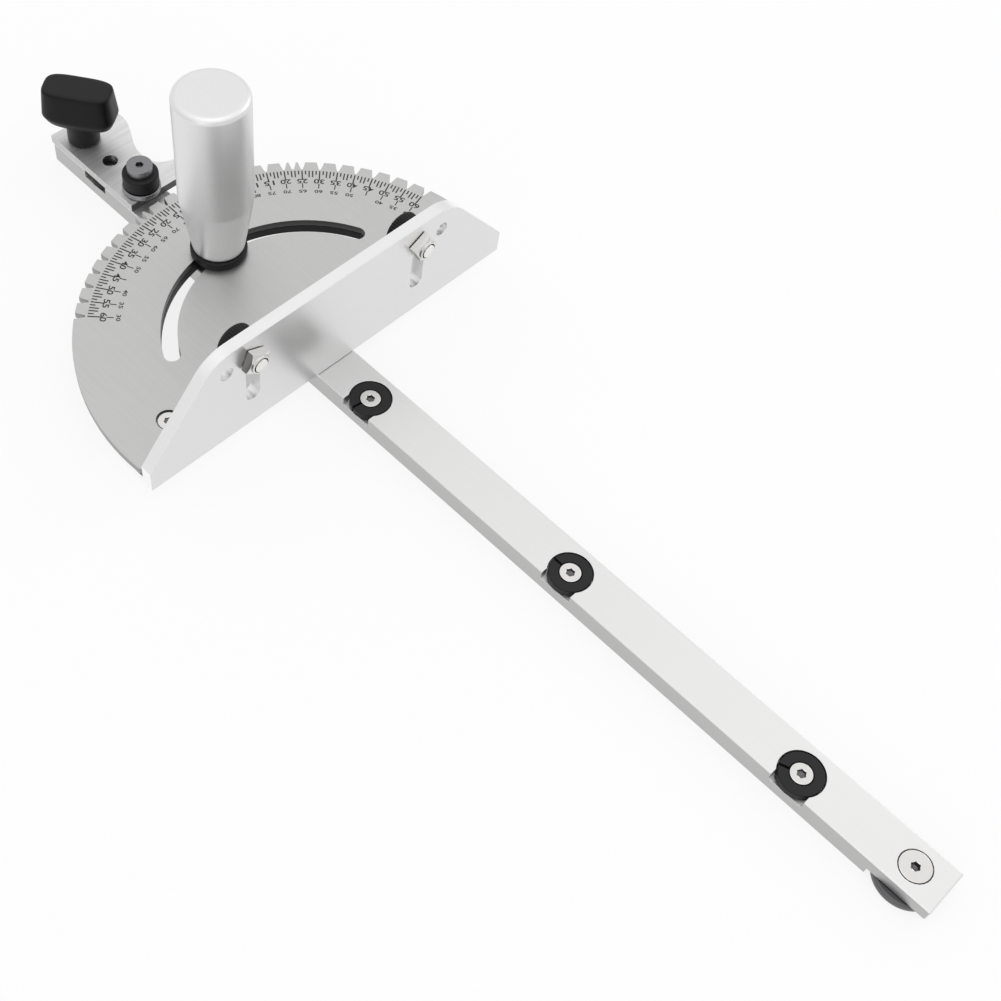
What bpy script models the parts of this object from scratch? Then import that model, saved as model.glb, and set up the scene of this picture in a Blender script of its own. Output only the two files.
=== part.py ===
"""Miter gauge: a bar for a table's slot, a notched protractor head with a fence, an index and a handle.

Metres, +Z up. The origin is on the head's pivot axis, in the plane of the bar's bottom.
+Y runs along the bar to its handle end and +X runs right along the fence, which faces -Y.
"""
import math

import bmesh
import bpy
from mathutils import Matrix, Vector

MM = 0.001

# Fits
SEAT_GAP = 0.3 * MM          # between two faces that rest on each other
BORE_GAP = 0.3 * MM          # round a shank in its hole
SLIDE_GAP = 0.35 * MM        # beside a stud in its slot
HEAD_GAP = 0.4 * MM          # round a countersunk head

# Bar
BAR_LENGTH = 450 * MM
BAR_WIDTH = 19 * MM
BAR_HEIGHT = 9 * MM
BAR_EDGE = 0.4 * MM
BLIND_FLOOR = 1.8 * MM       # what a blind hole leaves of the bar's bottom

# Side discs, which take up the play in the slot
DISC_OFFSET = 1.8 * MM       # from the bar's middle towards its left side
DISC_TO_PIVOT = 36.5 * MM
DISC_TO_WASHER = 44.3 * MM
DISC_UNDER_INDEX = 25 * MM   # from the index plate's front edge
DISC_RADIUS = 8 * MM
DISC_THICKNESS = 3.3 * MM
DISC_EDGE = 0.5 * MM
DISC_SPLIT = 1 * MM
DISC_SPLIT_ANGLES = (170, 90, 111, 150)
DISC_SCREW_HEAD = 3.9 * MM
DISC_SCREW_SHANK = 2 * MM
DISC_SCREW_KEY = 3 * MM
DISC_SOCKET_DEPTH = 1.6 * MM
POCKET_GAP = 0.4 * MM
POCKET_CHANNEL = 13.6 * MM

# Washer under the bar's near end, which runs in the table's T slot
T_WASHER_INSET = 12.2 * MM   # from the bar's near end
T_WASHER_RADIUS = 12 * MM
T_WASHER_THICKNESS = 3 * MM
T_WASHER_EDGE = 0.7 * MM
T_WASHER_ROOM = 2 * MM
T_SCREW_HEAD = 5.5 * MM
T_SCREW_SHANK = 2.5 * MM
T_SCREW_KEY = 3 * MM
T_SOCKET_DEPTH = 2.4 * MM

# Fence bracket
FENCE_LENGTH = 180 * MM
FENCE_TOP_Z = 56 * MM
LEG_THICKNESS = 5 * MM
LEG_BACK_Y = -10.15 * MM
LEG_END_HEIGHT = 10 * MM
LEG_SHOULDER = 31.5 * MM     # from the fence's end to where its flat top would start
LEG_CORNER = 18 * MM
FLANGE_THICKNESS = 3.4 * MM
FLANGE_BACK_Y = 14 * MM
FLANGE_SHOULDER_Y = -1 * MM  # where a straight end turns in to the rim
FLANGE_RIM_GAP = 0.5 * MM
FENCE_SLOT_INSET = 48.5 * MM # from the fence's end
FENCE_SLOT_LOW_Z = 22.4 * MM
FENCE_SLOT_HIGH_Z = 50 * MM
FENCE_HOLE_INSET = 36.7 * MM
FENCE_HOLE_RADIUS = 2.85 * MM

# Hardware in the fence's slots
FENCE_BOLT_Z = 46 * MM
BOLT_RADIUS = 2.9 * MM
BOLT_PROUD = 1.5 * MM
BOLT_IN_KNOB = 4.5 * MM
NUT_FLATS = 10 * MM
NUT_THICKNESS = 5 * MM
FENCE_KNOB_RADIUS = 7.6 * MM
FENCE_KNOB_LENGTH = 6 * MM
FENCE_KNOB_RIBS = 24
FENCE_KNOB_RIB_DEPTH = 0.35 * MM
FENCE_KNOB_EDGE = 0.8 * MM
SCREW_EDGE = 0.5 * MM
SOCKET_SHARE = 0.6           # a key socket's depth in a cap screw's head

# Protractor plate
PLATE_OVER = 0.3 * MM        # from the fence's end out to the half disc's widest point
PLATE_THICKNESS = 3 * MM
PLATE_CORNER_RISE = 1.5 * MM
SCALE_TURN = 15              # degrees that the scale's zero stands off the bar's direction
NOTCH_STEP = 5
NOTCH_LIMIT = 60
NOTCH_EXTRA = 22.5
NOTCH_MOUTH = 3.1 * MM
NOTCH_FLOOR = 0.8 * MM
NOTCH_DEPTH = 4.1 * MM
ARC_SLOT_END = 63            # degrees from the bar's direction to an end's centre
ARC_STEP = 3

# Screws that hold the plate on the bracket
BRACKET_SCREW_INSET = 21.7 * MM
BRACKET_SCREW_Y = 1.7 * MM
BRACKET_SCREW_HEAD = 4 * MM
BRACKET_SCREW_SHANK = 2 * MM
BRACKET_SCREW_KEY = 3 * MM
COUNTERBORE_DEPTH = 2 * MM
COUNTERBORE_ROOM = 0.6 * MM
BRACKET_SCREW_RECESS = 0.6 * MM

# Pivot
PIVOT_SHANK = 3 * MM
PIVOT_BUSH_RADIUS = 6 * MM
PIVOT_HEAD_RADIUS = 7.5 * MM
PIVOT_HEAD_HEIGHT = 4 * MM
PIVOT_KEY = 5 * MM

# Clamping handle
HANDLE_Y = 53.8 * MM
HANDLE_ABOVE_PLATE = 80 * MM # from the plate's top to the handle's
HANDLE_RADIUS = 14.75 * MM
HANDLE_FOOT_RADIUS = 10.5 * MM
HANDLE_TAPER_HEIGHT = 26.5 * MM
HANDLE_EDGE = 2.5 * MM
HANDLE_FOOT_EDGE = 0.8 * MM
HANDLE_WASHER_RADIUS = 11.4 * MM
HANDLE_WASHER_THICKNESS = 3 * MM
HANDLE_WASHER_EDGE = 0.5 * MM
STUD_RADIUS = 2.9 * MM
STUD_IN_HANDLE = 35 * MM

# Spacer strip under the plate, along its curved slot
SPACER_WALL = 5.5 * MM
SPACER_TO_FLANGE = 1 * MM

# Index: a sliding plate with the tooth that drops into a notch
INDEX_THICKNESS = 3.6 * MM
INDEX_TO_RIM = 7.7 * MM      # from the protractor's rim to the plate's front edge, drawn back
INDEX_LENGTH = 54 * MM
INDEX_OVERHANG = 1 * MM      # past the bar's far end
INDEX_WAIST_X = 12.2 * MM
INDEX_HEAD_X = 20.4 * MM
INDEX_HEAD_CORNER = 10 * MM
INDEX_WAIST_RADIUS = 9.3 * MM
INDEX_FLARE_START = 21 * MM  # from the front edge
INDEX_ARM_X = 33 * MM
INDEX_ARM_DEPTH = 9.7 * MM
INDEX_TRAVEL = 4.5 * MM
KEY_HOLE_RADIUS = 3.25 * MM
KEY_HOLE_LEAD = 1.1 * MM     # from the disc's middle to the key hole's
TOOTH_THICKNESS = 2.6 * MM
TOOTH_WIDTH = 6 * MM
TOOTH_LENGTH = 17 * MM
TOOTH_SHOULDER = 6.2 * MM
TOOTH_GAP = 0.45 * MM
TOOTH_POINT = 0.05 * MM      # half the width left at the tip
TOOTH_SCREW_INSET = 3.5 * MM
TOOTH_SCREW_EDGE = 0.2 * MM
TOOTH_SCREW_HEAD = 2 * MM
TOOTH_SCREW_HEIGHT = 1.4 * MM
TOOTH_SCREW_SHANK = 1.1 * MM
TOOTH_SCREW_KEY = 1.5 * MM

# Guide that the index plate slides on
GUIDE_INSET = 5 * MM         # from the index plate's front edge
GUIDE_BOSS_EDGE = 0.4 * MM
GUIDE_SLEEVE_EDGE = 0.6 * MM
GUIDE_BOSS_RADIUS = 7.9 * MM
GUIDE_BOSS_HEIGHT = 2.3 * MM
GUIDE_SLEEVE_RADIUS = 7.5 * MM
GUIDE_SLEEVE_HEIGHT = 6.4 * MM
GUIDE_HEAD_RADIUS = 5.3 * MM
GUIDE_HEAD_HEIGHT = 3.6 * MM
GUIDE_KEY = 4 * MM

# Index knob
KNOB_INSET = 43.6 * MM       # from the index plate's front edge
KNOB_TURN = -54              # degrees from +X to the wing
KNOB_NECK_RADIUS = 6.4 * MM
KNOB_NECK_HEIGHT = 10 * MM
KNOB_WING_HEIGHT = 17 * MM
KNOB_WING_LENGTH = 31 * MM   # at its widest level
KNOB_WING_THICKNESS = 17 * MM
KNOB_WING_BULGE = 3.5 * MM   # from the underside up to the widest level
KNOB_WING_TAPER = 1.6 * MM   # drawn in all round at the underside
KNOB_WING_DRAFT = 1.1 * MM   # and at the top
KNOB_WING_CORNER = 5.8 * MM
KNOB_WING_RISE = 1 * MM
KNOB_EDGE = 1.6 * MM
KNOB_LEAST_FLAT = 0.05 * MM  # half the flat kept between two round corners
STUD_IN_KNOB = 18 * MM

# Levels and places that follow from the sizes
FLANGE_Z = BAR_HEIGHT + SEAT_GAP
PLATE_Z = FLANGE_Z + FLANGE_THICKNESS + SEAT_GAP
PLATE_TOP = PLATE_Z + PLATE_THICKNESS
PLATE_FRONT_Y = LEG_BACK_Y + SEAT_GAP
LEG_FRONT_Y = LEG_BACK_Y - LEG_THICKNESS
FENCE_HALF = FENCE_LENGTH / 2
PLATE_RADIUS = FENCE_HALF + PLATE_OVER
LEG_TOP_HALF = FENCE_HALF - LEG_SHOULDER
FENCE_SLOT_X = FENCE_HALF - FENCE_SLOT_INSET
FENCE_HOLE_X = FENCE_HALF - FENCE_HOLE_INSET
BRACKET_SCREW_X = FENCE_HALF - BRACKET_SCREW_INSET
POCKET_FLOOR = BAR_HEIGHT - DISC_THICKNESS - SEAT_GAP
T_WASHER_Z = SEAT_GAP
RELIEF_Z = T_WASHER_Z + T_WASHER_THICKNESS + SEAT_GAP
HANDLE_WASHER_Z = PLATE_TOP + SEAT_GAP
HANDLE_Z = HANDLE_WASHER_Z + HANDLE_WASHER_THICKNESS + SEAT_GAP
HANDLE_TOP = PLATE_TOP + HANDLE_ABOVE_PLATE
INDEX_Z = BAR_HEIGHT + SEAT_GAP
INDEX_TOP = INDEX_Z + INDEX_THICKNESS
ON_INDEX = INDEX_TOP + SEAT_GAP
GUIDE_SLEEVE_Z = ON_INDEX + GUIDE_BOSS_HEIGHT + SEAT_GAP
GUIDE_HEAD_Z = GUIDE_SLEEVE_Z + GUIDE_SLEEVE_HEIGHT + SEAT_GAP
KNOB_WING_Z = ON_INDEX + KNOB_NECK_HEIGHT
STUD_SLOT_HALF = STUD_RADIUS + SLIDE_GAP
NOTCH_ROOT = PLATE_RADIUS - NOTCH_DEPTH
INDEX_FRONT_Y = PLATE_RADIUS + INDEX_TO_RIM
INDEX_BACK_Y = INDEX_FRONT_Y + INDEX_LENGTH
GUIDE_Y = INDEX_FRONT_Y + GUIDE_INSET
KNOB_Y = INDEX_FRONT_Y + KNOB_INSET
BAR_FAR_Y = INDEX_BACK_Y - INDEX_OVERHANG
BAR_NEAR_Y = BAR_FAR_Y - BAR_LENGTH
T_WASHER_Y = BAR_NEAR_Y + T_WASHER_INSET
DISC_X = -DISC_OFFSET
DISC_FAR_Y = INDEX_FRONT_Y + DISC_UNDER_INDEX
DISC_PITCH = (-DISC_TO_PIVOT - T_WASHER_Y - DISC_TO_WASHER) / 2
DISC_CENTRES = [-DISC_TO_PIVOT - DISC_PITCH * i for i in range(3)] + [DISC_FAR_Y]

# How finely curves are cut up
FINE_STEPS = 48
ROUND_STEPS = 32
SMALL_STEPS = 24
POCKET_STEPS = 36
SLOT_END_STEPS = 10
LEG_CORNER_STEPS = 8
WAIST_STEPS = 7
EDGE_STEPS = 5
KNOB_EDGE_STEPS = 2
REACH = 1 * MM               # how far a cutter passes a face that it opens
WELD = 0.001 * MM            # points closer than this are one


def clear_scene():
    """Remove every object, so that the model starts from nothing."""
    for item in list(bpy.data.objects):
        bpy.data.objects.remove(item, do_unlink=True)


def make_material(name, colour, roughness, metallic):
    """A plain Principled material."""
    material = bpy.data.materials.new(name)
    material.use_nodes = True
    shader = material.node_tree.nodes["Principled BSDF"]
    shader.inputs["Base Color"].default_value = (*colour, 1)
    shader.inputs["Roughness"].default_value = roughness
    shader.inputs["Metallic"].default_value = metallic
    material.diffuse_color = (*colour, 1)
    return material


def make_object(name, mesh_builder, material=None, at=(0, 0, 0), parent=None, turn=None):
    """Turn a bmesh into a named object that stands at a world point, under an optional empty."""
    bmesh.ops.recalc_face_normals(mesh_builder, faces=mesh_builder.faces)
    mesh = bpy.data.meshes.new(name)
    mesh_builder.to_mesh(mesh)
    mesh_builder.free()
    piece = bpy.data.objects.new(name, mesh)
    bpy.context.collection.objects.link(piece)
    piece.location = Vector(at)
    if turn:
        piece.rotation_euler = turn
    if parent:
        piece.parent = parent
        piece.location = Vector(at) - parent.location
    if material:
        mesh.materials.append(material)
    return piece


def make_axis(name, at):
    """An empty on a joint's axis, which carries the pieces that move with it."""
    axis = bpy.data.objects.new(name, None)
    axis.empty_display_size = 10 * MM
    axis.location = Vector(at)
    bpy.context.collection.objects.link(axis)
    return axis


def finish(piece, smooth_under=30):
    """Shade the round faces smooth and keep the edges sharp."""
    piece.data.shade_smooth()
    piece.data.set_sharp_from_angle(angle=math.radians(smooth_under))
    return piece


def cut(piece, *cutters, operation="DIFFERENCE"):
    """Apply one Boolean for each cutter, in turn, and drop the cutters."""
    for cutter in cutters:
        cutter.display_type = "WIRE"
        cutter.hide_render = True
        modifier = piece.modifiers.new("cut", "BOOLEAN")
        modifier.operation = operation
        modifier.solver = "EXACT"
        modifier.object = cutter
        graph = bpy.context.evaluated_depsgraph_get()
        mesh = bpy.data.meshes.new_from_object(piece.evaluated_get(graph))
        piece.modifiers.clear()
        spent = piece.data
        piece.data = mesh
        bpy.data.meshes.remove(spent)
        bpy.data.objects.remove(cutter, do_unlink=True)
    return piece


def arc(centre, radius, start, end, steps):
    """Points on an arc, in degrees anticlockwise from +X, both ends included."""
    points = []
    for i in range(steps + 1):
        angle = math.radians(start + (end - start) * i / steps)
        points.append((centre[0] + radius * math.cos(angle), centre[1] + radius * math.sin(angle)))
    return points


def circle(centre, radius, steps=SMALL_STEPS):
    """Points round a full circle, the first not repeated."""
    return arc(centre, radius, 0, 360, steps)[:-1]


def hexagon(flats):
    """A hexagon by its width across flats."""
    return circle((0, 0), flats / math.sqrt(3), 6)


def stadium(centre, half_width, low, high, steps=SLOT_END_STEPS):
    """A straight slot along the second axis: low and high are its ends' centres."""
    top = arc((centre, high), half_width, 0, 180, steps)
    bottom = arc((centre, low), half_width, 180, 360, steps)
    return top + bottom


def prism(outline, low, high):
    """Extrude a flat outline from one height to another."""
    shape = bmesh.new()
    floor = shape.faces.new([shape.verts.new((x, y, low)) for x, y in outline])
    walls = bmesh.ops.extrude_face_region(shape, geom=[floor])
    risen = [item for item in walls["geom"] if isinstance(item, bmesh.types.BMVert)]
    bmesh.ops.translate(shape, verts=risen, vec=(0, 0, high - low))
    return shape


def turned(profile, steps=ROUND_STEPS):
    """Spin a closed (radius, height) profile round Z; points at radius 0 meet on the axis."""
    shape = bmesh.new()
    points = [shape.verts.new((radius, 0, height)) for radius, height in profile]
    rim = [shape.edges.new((points[i], points[(i + 1) % len(points)])) for i in range(len(points))]
    bmesh.ops.spin(
        shape, geom=points + rim, axis=(0, 0, 1), cent=(0, 0, 0),
        steps=steps, angle=math.tau, use_merge=True,
    )
    bmesh.ops.remove_doubles(shape, verts=shape.verts, dist=WELD)
    stray = [face for face in shape.faces if face.calc_area() < WELD ** 2]
    bmesh.ops.delete(shape, geom=stray, context="FACES_ONLY")
    loose = [edge for edge in shape.edges if not edge.link_faces]
    bmesh.ops.delete(shape, geom=loose, context="EDGES")
    return shape


def fillet(radius, height, size, start, end, steps=EDGE_STEPS):
    """Profile points of a rounded edge about its own centre."""
    return arc((radius, height), size, start, end, steps)


def socket_cutter(flats, top, depth):
    """The hexagonal hole for a key, opened past the head's top."""
    return make_object("socket", prism(hexagon(flats), top - depth, top + REACH))


def countersunk_profile(head, shank, top, bottom, land):
    """A countersunk screw's half section, with a cone of 45 degrees under its land."""
    cone_end = top - land - (head - shank)
    return [(0, top), (head, top), (head, top - land), (shank, cone_end), (shank, bottom), (0, bottom)]


def countersunk_hole(head, shank, top, bottom, land):
    """A cutter for the screw above, wider all round by the gap at its head."""
    profile = countersunk_profile(head + HEAD_GAP, shank + HEAD_GAP, top, bottom, land)
    profile[0] = (0, top + REACH)
    profile[1] = (head + HEAD_GAP, top + REACH)
    return turned(profile, SMALL_STEPS)


def countersunk_screw(name, material, at, head, shank, top, bottom, land, key, depth):
    """A countersunk socket screw that stands on its axis."""
    profile = countersunk_profile(head, shank, top, bottom, land)
    screw = make_object(name, turned(profile, SMALL_STEPS), material)
    cut(screw, socket_cutter(key, top, depth))
    screw.location = Vector(at)
    return finish(screw)


def cap_screw(name, material, at, head, head_z, height, shank, bottom, key, edge=SCREW_EDGE, parent=None):
    """A cap screw with a socket in its round head."""
    top = head_z + height
    profile = [
        (0, top), (head - edge, top), (head, top - edge), (head, head_z),
        (shank, head_z), (shank, bottom), (0, bottom),
    ]
    screw = make_object(name, turned(profile, SMALL_STEPS), material)
    cut(screw, socket_cutter(key, top, height * SOCKET_SHARE))
    screw.location = Vector(at)
    if parent:
        screw.parent = parent
        screw.location = Vector(at) - parent.location
    return finish(screw)


def ring(name, material, at, inner, outer, low, high, edge=0.0, steps=ROUND_STEPS):
    """A flat ring, with its outer edges broken where an edge size is given."""
    if edge:
        rim = [(outer - edge, high), (outer, high - edge), (outer, low + edge), (outer - edge, low)]
    else:
        rim = [(outer, high), (outer, low)]
    return finish(make_object(name, turned([(inner, high)] + rim + [(inner, low)], steps), material, at))


def hole(radius, at, low, high, steps=SMALL_STEPS):
    """A plain round cutter."""
    return make_object("hole", prism(circle((0, 0), radius, steps), low, high), at=at)


def pocket_outline():
    """A disc's seat: a circle with a channel that opens at the bar's left side."""
    radius = DISC_RADIUS + POCKET_GAP
    half = POCKET_CHANNEL / 2
    mouth = math.degrees(math.asin(half / radius))
    edge = -BAR_WIDTH / 2 - DISC_X - REACH
    return [(edge, -half)] + arc((0, 0), radius, mouth - 180, 180 - mouth, POCKET_STEPS) + [(edge, half)]


def miter_bar(material):
    """The bar, with its pockets, its relieved near end and the holes for what stands on it."""
    half = BAR_WIDTH / 2
    corners = [(-half, BAR_NEAR_Y), (half, BAR_NEAR_Y), (half, BAR_FAR_Y), (-half, BAR_FAR_Y)]
    shape = prism(corners, 0, BAR_HEIGHT)
    bmesh.ops.bevel(shape, geom=list(shape.edges), offset=BAR_EDGE, segments=1, affect="EDGES")
    bar = make_object("miter_bar", shape, material)
    for y in DISC_CENTRES:
        at = (DISC_X, y, 0)
        pocket = make_object("pocket", prism(pocket_outline(), POCKET_FLOOR, BAR_HEIGHT + REACH), at=at)
        tapped = hole(DISC_SCREW_SHANK + BORE_GAP, at, BLIND_FLOOR - BORE_GAP, POCKET_FLOOR + REACH)
        cut(bar, pocket, tapped)
    blind = {0: PIVOT_SHANK, HANDLE_Y: STUD_RADIUS, GUIDE_Y: STUD_RADIUS, KNOB_Y: STUD_RADIUS}
    for y, shank in blind.items():
        cut(bar, hole(shank + BORE_GAP, (0, y, 0), BLIND_FLOOR - BORE_GAP, BAR_HEIGHT + REACH))
    room = T_WASHER_RADIUS + T_WASHER_ROOM
    outline = [(-room, BAR_NEAR_Y - REACH), (room, BAR_NEAR_Y - REACH)]
    outline += arc((0, T_WASHER_Y), room, 0, 180, ROUND_STEPS)
    relief = make_object("relief", prism(outline, -REACH, RELIEF_Z))
    seat = make_object("seat", countersunk_hole(T_SCREW_HEAD, T_SCREW_SHANK, BAR_HEIGHT, -REACH, HEAD_GAP))
    seat.location.y = T_WASHER_Y
    return finish(cut(bar, relief, seat))


def side_disc(number, y, disc_material, screw_material):
    """A split disc and the countersunk screw that spreads it against the slot's side."""
    bottom = POCKET_FLOOR + SEAT_GAP
    top = bottom + DISC_THICKNESS
    outer = [(DISC_RADIUS - DISC_EDGE, top), (DISC_RADIUS, top - DISC_EDGE), (DISC_RADIUS, bottom)]
    disc = make_object("side_disc_%d" % number, turned([(0, top)] + outer + [(0, bottom)]), disc_material)
    bore = countersunk_hole(DISC_SCREW_HEAD, DISC_SCREW_SHANK, top, bottom - REACH, HEAD_GAP)
    split = prism([(0, -DISC_SPLIT / 2), (2 * DISC_RADIUS, -DISC_SPLIT / 2),
                   (2 * DISC_RADIUS, DISC_SPLIT / 2), (0, DISC_SPLIT / 2)], bottom - REACH, top + REACH)
    bmesh.ops.rotate(split, verts=split.verts, cent=(0, 0, 0),
                     matrix=Matrix.Rotation(math.radians(DISC_SPLIT_ANGLES[number - 1]), 3, "Z"))
    cut(disc, make_object("bore", bore), make_object("split", split))
    disc.location = (DISC_X, y, 0)
    finish(disc)
    countersunk_screw(
        "side_screw_%d" % number, screw_material, (DISC_X, y, 0), DISC_SCREW_HEAD, DISC_SCREW_SHANK,
        top, BLIND_FLOOR, HEAD_GAP, DISC_SCREW_KEY, DISC_SOCKET_DEPTH,
    )


def t_slot_washer(washer_material, screw_material):
    """The washer under the bar's near end and its screw."""
    at = (0, T_WASHER_Y, 0)
    top = T_WASHER_Z + T_WASHER_THICKNESS
    ring("t_slot_washer", washer_material, at, T_SCREW_SHANK + BORE_GAP, T_WASHER_RADIUS,
         T_WASHER_Z, top, T_WASHER_EDGE)
    countersunk_screw("t_washer_screw", screw_material, at, T_SCREW_HEAD, T_SCREW_SHANK,
                      BAR_HEIGHT, 2 * T_WASHER_Z, HEAD_GAP, T_SCREW_KEY, T_SOCKET_DEPTH)


def leg_outline():
    """The fence's face in (x, z): low ends, slanted shoulders with round corners and a flat top."""
    half = FENCE_HALF
    low = FLANGE_Z + LEG_END_HEIGHT
    slant = math.atan2(FENCE_TOP_Z - low, LEG_SHOULDER)
    centre_x = LEG_TOP_HALF - LEG_CORNER * math.tan(slant / 2)
    turn = 90 - math.degrees(slant)
    right = arc((centre_x, FENCE_TOP_Z - LEG_CORNER), LEG_CORNER, turn, 90, LEG_CORNER_STEPS)
    left = [(-x, z) for x, z in reversed(right)]
    return [(-half, FLANGE_Z), (half, FLANGE_Z), (half, low)] + right + left + [(-half, low)]


def flange_outline():
    """The foot under the plate: straight sides cut to the plate's rim, and a straight back."""
    radius = PLATE_RADIUS - FLANGE_RIM_GAP
    half = FENCE_HALF
    right = [(half, LEG_BACK_Y - LEG_THICKNESS / 2)]
    end = math.asin(FLANGE_BACK_Y / radius)
    if half > radius:
        right += [(half, FLANGE_SHOULDER_Y)] + arc((0, 0), radius, 0, math.degrees(end), EDGE_STEPS)
    elif half > radius * math.cos(end):
        right += arc((0, 0), radius, math.degrees(math.acos(half / radius)), math.degrees(end), EDGE_STEPS)
    else:
        right.append((half, FLANGE_BACK_Y))
    return right + [(-x, y) for x, y in reversed(right)]


def upright(outline, back, front):
    """A prism whose outline stands in x and z, between two depths along Y."""
    shape = prism(outline, -back, -front)
    bmesh.ops.rotate(shape, verts=shape.verts, cent=(0, 0, 0), matrix=Matrix.Rotation(math.pi / 2, 3, "X"))
    return shape


def fence_bracket(material, axis):
    """The fence's upright leg and the flange that the plate lies on, as one piece."""
    shape = upright(leg_outline(), LEG_BACK_Y, LEG_FRONT_Y)
    bracket = make_object("fence_bracket", shape, material)
    flange = make_object("flange", prism(flange_outline(), FLANGE_Z, FLANGE_Z + FLANGE_THICKNESS))
    cut(bracket, flange, operation="UNION")
    back = LEG_BACK_Y + REACH
    front = LEG_FRONT_Y - REACH
    for side in (-1, 1):
        slot = stadium(side * FENCE_SLOT_X, STUD_SLOT_HALF,
                       FENCE_SLOT_LOW_Z + STUD_SLOT_HALF, FENCE_SLOT_HIGH_Z - STUD_SLOT_HALF)
        plain = circle((side * FENCE_HOLE_X, FENCE_BOLT_Z), FENCE_HOLE_RADIUS)
        tapped = hole(BRACKET_SCREW_SHANK + BORE_GAP, (side * BRACKET_SCREW_X, BRACKET_SCREW_Y, 0),
                      FLANGE_Z - REACH, PLATE_Z)
        cut(bracket, make_object("slot", upright(slot, back, front)),
            make_object("plain", upright(plain, back, front)), tapped)
    cut(bracket, hole(PIVOT_BUSH_RADIUS + BORE_GAP, (0, 0, 0), FLANGE_Z - REACH, PLATE_Z, ROUND_STEPS))
    bracket.parent = axis
    return finish(bracket)


def notch_angles():
    """Directions of the notches, in degrees from the bar's direction towards +X."""
    steps = int(2 * NOTCH_LIMIT / NOTCH_STEP)
    scale = [NOTCH_STEP * i - NOTCH_LIMIT for i in range(steps + 1)] + [-NOTCH_EXTRA, NOTCH_EXTRA]
    return [SCALE_TURN + value for value in sorted(scale)]


def polar(radius, degrees, across=0.0):
    """A point at a radius and a direction from +Y towards +X, moved sideways by a length."""
    angle = math.radians(degrees)
    x = radius * math.sin(angle) + across * math.cos(angle)
    y = radius * math.cos(angle) - across * math.sin(angle)
    return (x, y)


def rim_between(start, end):
    """Rim points between two directions, both left out."""
    steps = max(1, round((end - start) / ARC_STEP))
    return [polar(PLATE_RADIUS, start + (end - start) * i / steps) for i in range(1, steps)]


def plate_outline():
    """The half disc, clockwise from its left corner: its rim with a notch at each direction."""
    corner = 90 - math.degrees(math.asin((PLATE_FRONT_Y + PLATE_CORNER_RISE) / PLATE_RADIUS))
    mouth = math.degrees(NOTCH_MOUTH / 2 / PLATE_RADIUS)
    points = [polar(PLATE_RADIUS, -corner)]
    last = -corner
    for angle in notch_angles():
        points += rim_between(last, angle - mouth)
        points += [polar(PLATE_RADIUS, angle - mouth), polar(NOTCH_ROOT, angle, -NOTCH_FLOOR / 2),
                   polar(NOTCH_ROOT, angle, NOTCH_FLOOR / 2), polar(PLATE_RADIUS, angle + mouth)]
        last = angle + mouth
    points += rim_between(last, corner) + [polar(PLATE_RADIUS, corner)]
    inset = points[-1][0] - PLATE_CORNER_RISE
    return points + [(inset, PLATE_FRONT_Y), (-inset, PLATE_FRONT_Y)]


def arc_band(half_width):
    """A curved band with round ends along the path of the handle's stud past the plate."""
    low = 90 - ARC_SLOT_END
    high = 90 + ARC_SLOT_END
    steps = round((high - low) / ARC_STEP)
    outer = arc((0, 0), HANDLE_Y + half_width, low, high, steps)
    left = arc(arc((0, 0), HANDLE_Y, high, high, 1)[0], half_width, high, high + 180, SLOT_END_STEPS)
    inner = arc((0, 0), HANDLE_Y - half_width, high, low, steps)
    right = arc(arc((0, 0), HANDLE_Y, low, low, 1)[0], half_width, low - 180, low, SLOT_END_STEPS)
    return outer + left[1:-1] + inner + right[1:-1]


def protractor_plate(material, axis):
    """The notched half disc, with its curved slot, its pivot hole and two counterbored holes."""
    plate = make_object("protractor_plate", prism(plate_outline(), PLATE_Z, PLATE_TOP), material)
    low = PLATE_Z - REACH
    high = PLATE_TOP + REACH
    cut(plate, make_object("arc_slot", prism(arc_band(STUD_SLOT_HALF), low, high)),
        hole(PIVOT_BUSH_RADIUS + BORE_GAP, (0, 0, 0), low, high, ROUND_STEPS))
    for side in (-1, 1):
        at = (side * BRACKET_SCREW_X, BRACKET_SCREW_Y, 0)
        cut(plate, hole(BRACKET_SCREW_HEAD + COUNTERBORE_ROOM, at, PLATE_TOP - COUNTERBORE_DEPTH, high),
            hole(BRACKET_SCREW_SHANK + BORE_GAP, at, low, high))
    plate.parent = axis
    return finish(plate)


def slot_spacer(material, axis):
    """The strip that fills the height of the flange along the plate's curved slot."""
    low = FLANGE_Z
    high = FLANGE_Z + FLANGE_THICKNESS
    back = FLANGE_BACK_Y + SPACER_TO_FLANGE
    room = [(-FENCE_HALF, LEG_BACK_Y), (FENCE_HALF, LEG_BACK_Y), (FENCE_HALF, back), (-FENCE_HALF, back)]
    strip = make_object("slot_spacer", prism(arc_band(STUD_SLOT_HALF + SPACER_WALL), low, high), material)
    cut(strip, make_object("strip_slot", prism(arc_band(STUD_SLOT_HALF), low - REACH, high + REACH)),
        make_object("flange_room", prism(room, low - REACH, high + REACH)))
    strip.parent = axis
    return finish(strip)


def bracket_screws(material, axis):
    """The two low cap screws in the plate's counterbores."""
    for side, word in ((-1, "left"), (1, "right")):
        seat = PLATE_TOP - COUNTERBORE_DEPTH + SEAT_GAP
        height = PLATE_TOP - BRACKET_SCREW_RECESS - seat
        cap_screw("bracket_screw_" + word, material, (side * BRACKET_SCREW_X, BRACKET_SCREW_Y, 0),
                  BRACKET_SCREW_HEAD, seat, height, BRACKET_SCREW_SHANK,
                  FLANGE_Z + SEAT_GAP, BRACKET_SCREW_KEY, parent=axis)


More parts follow.
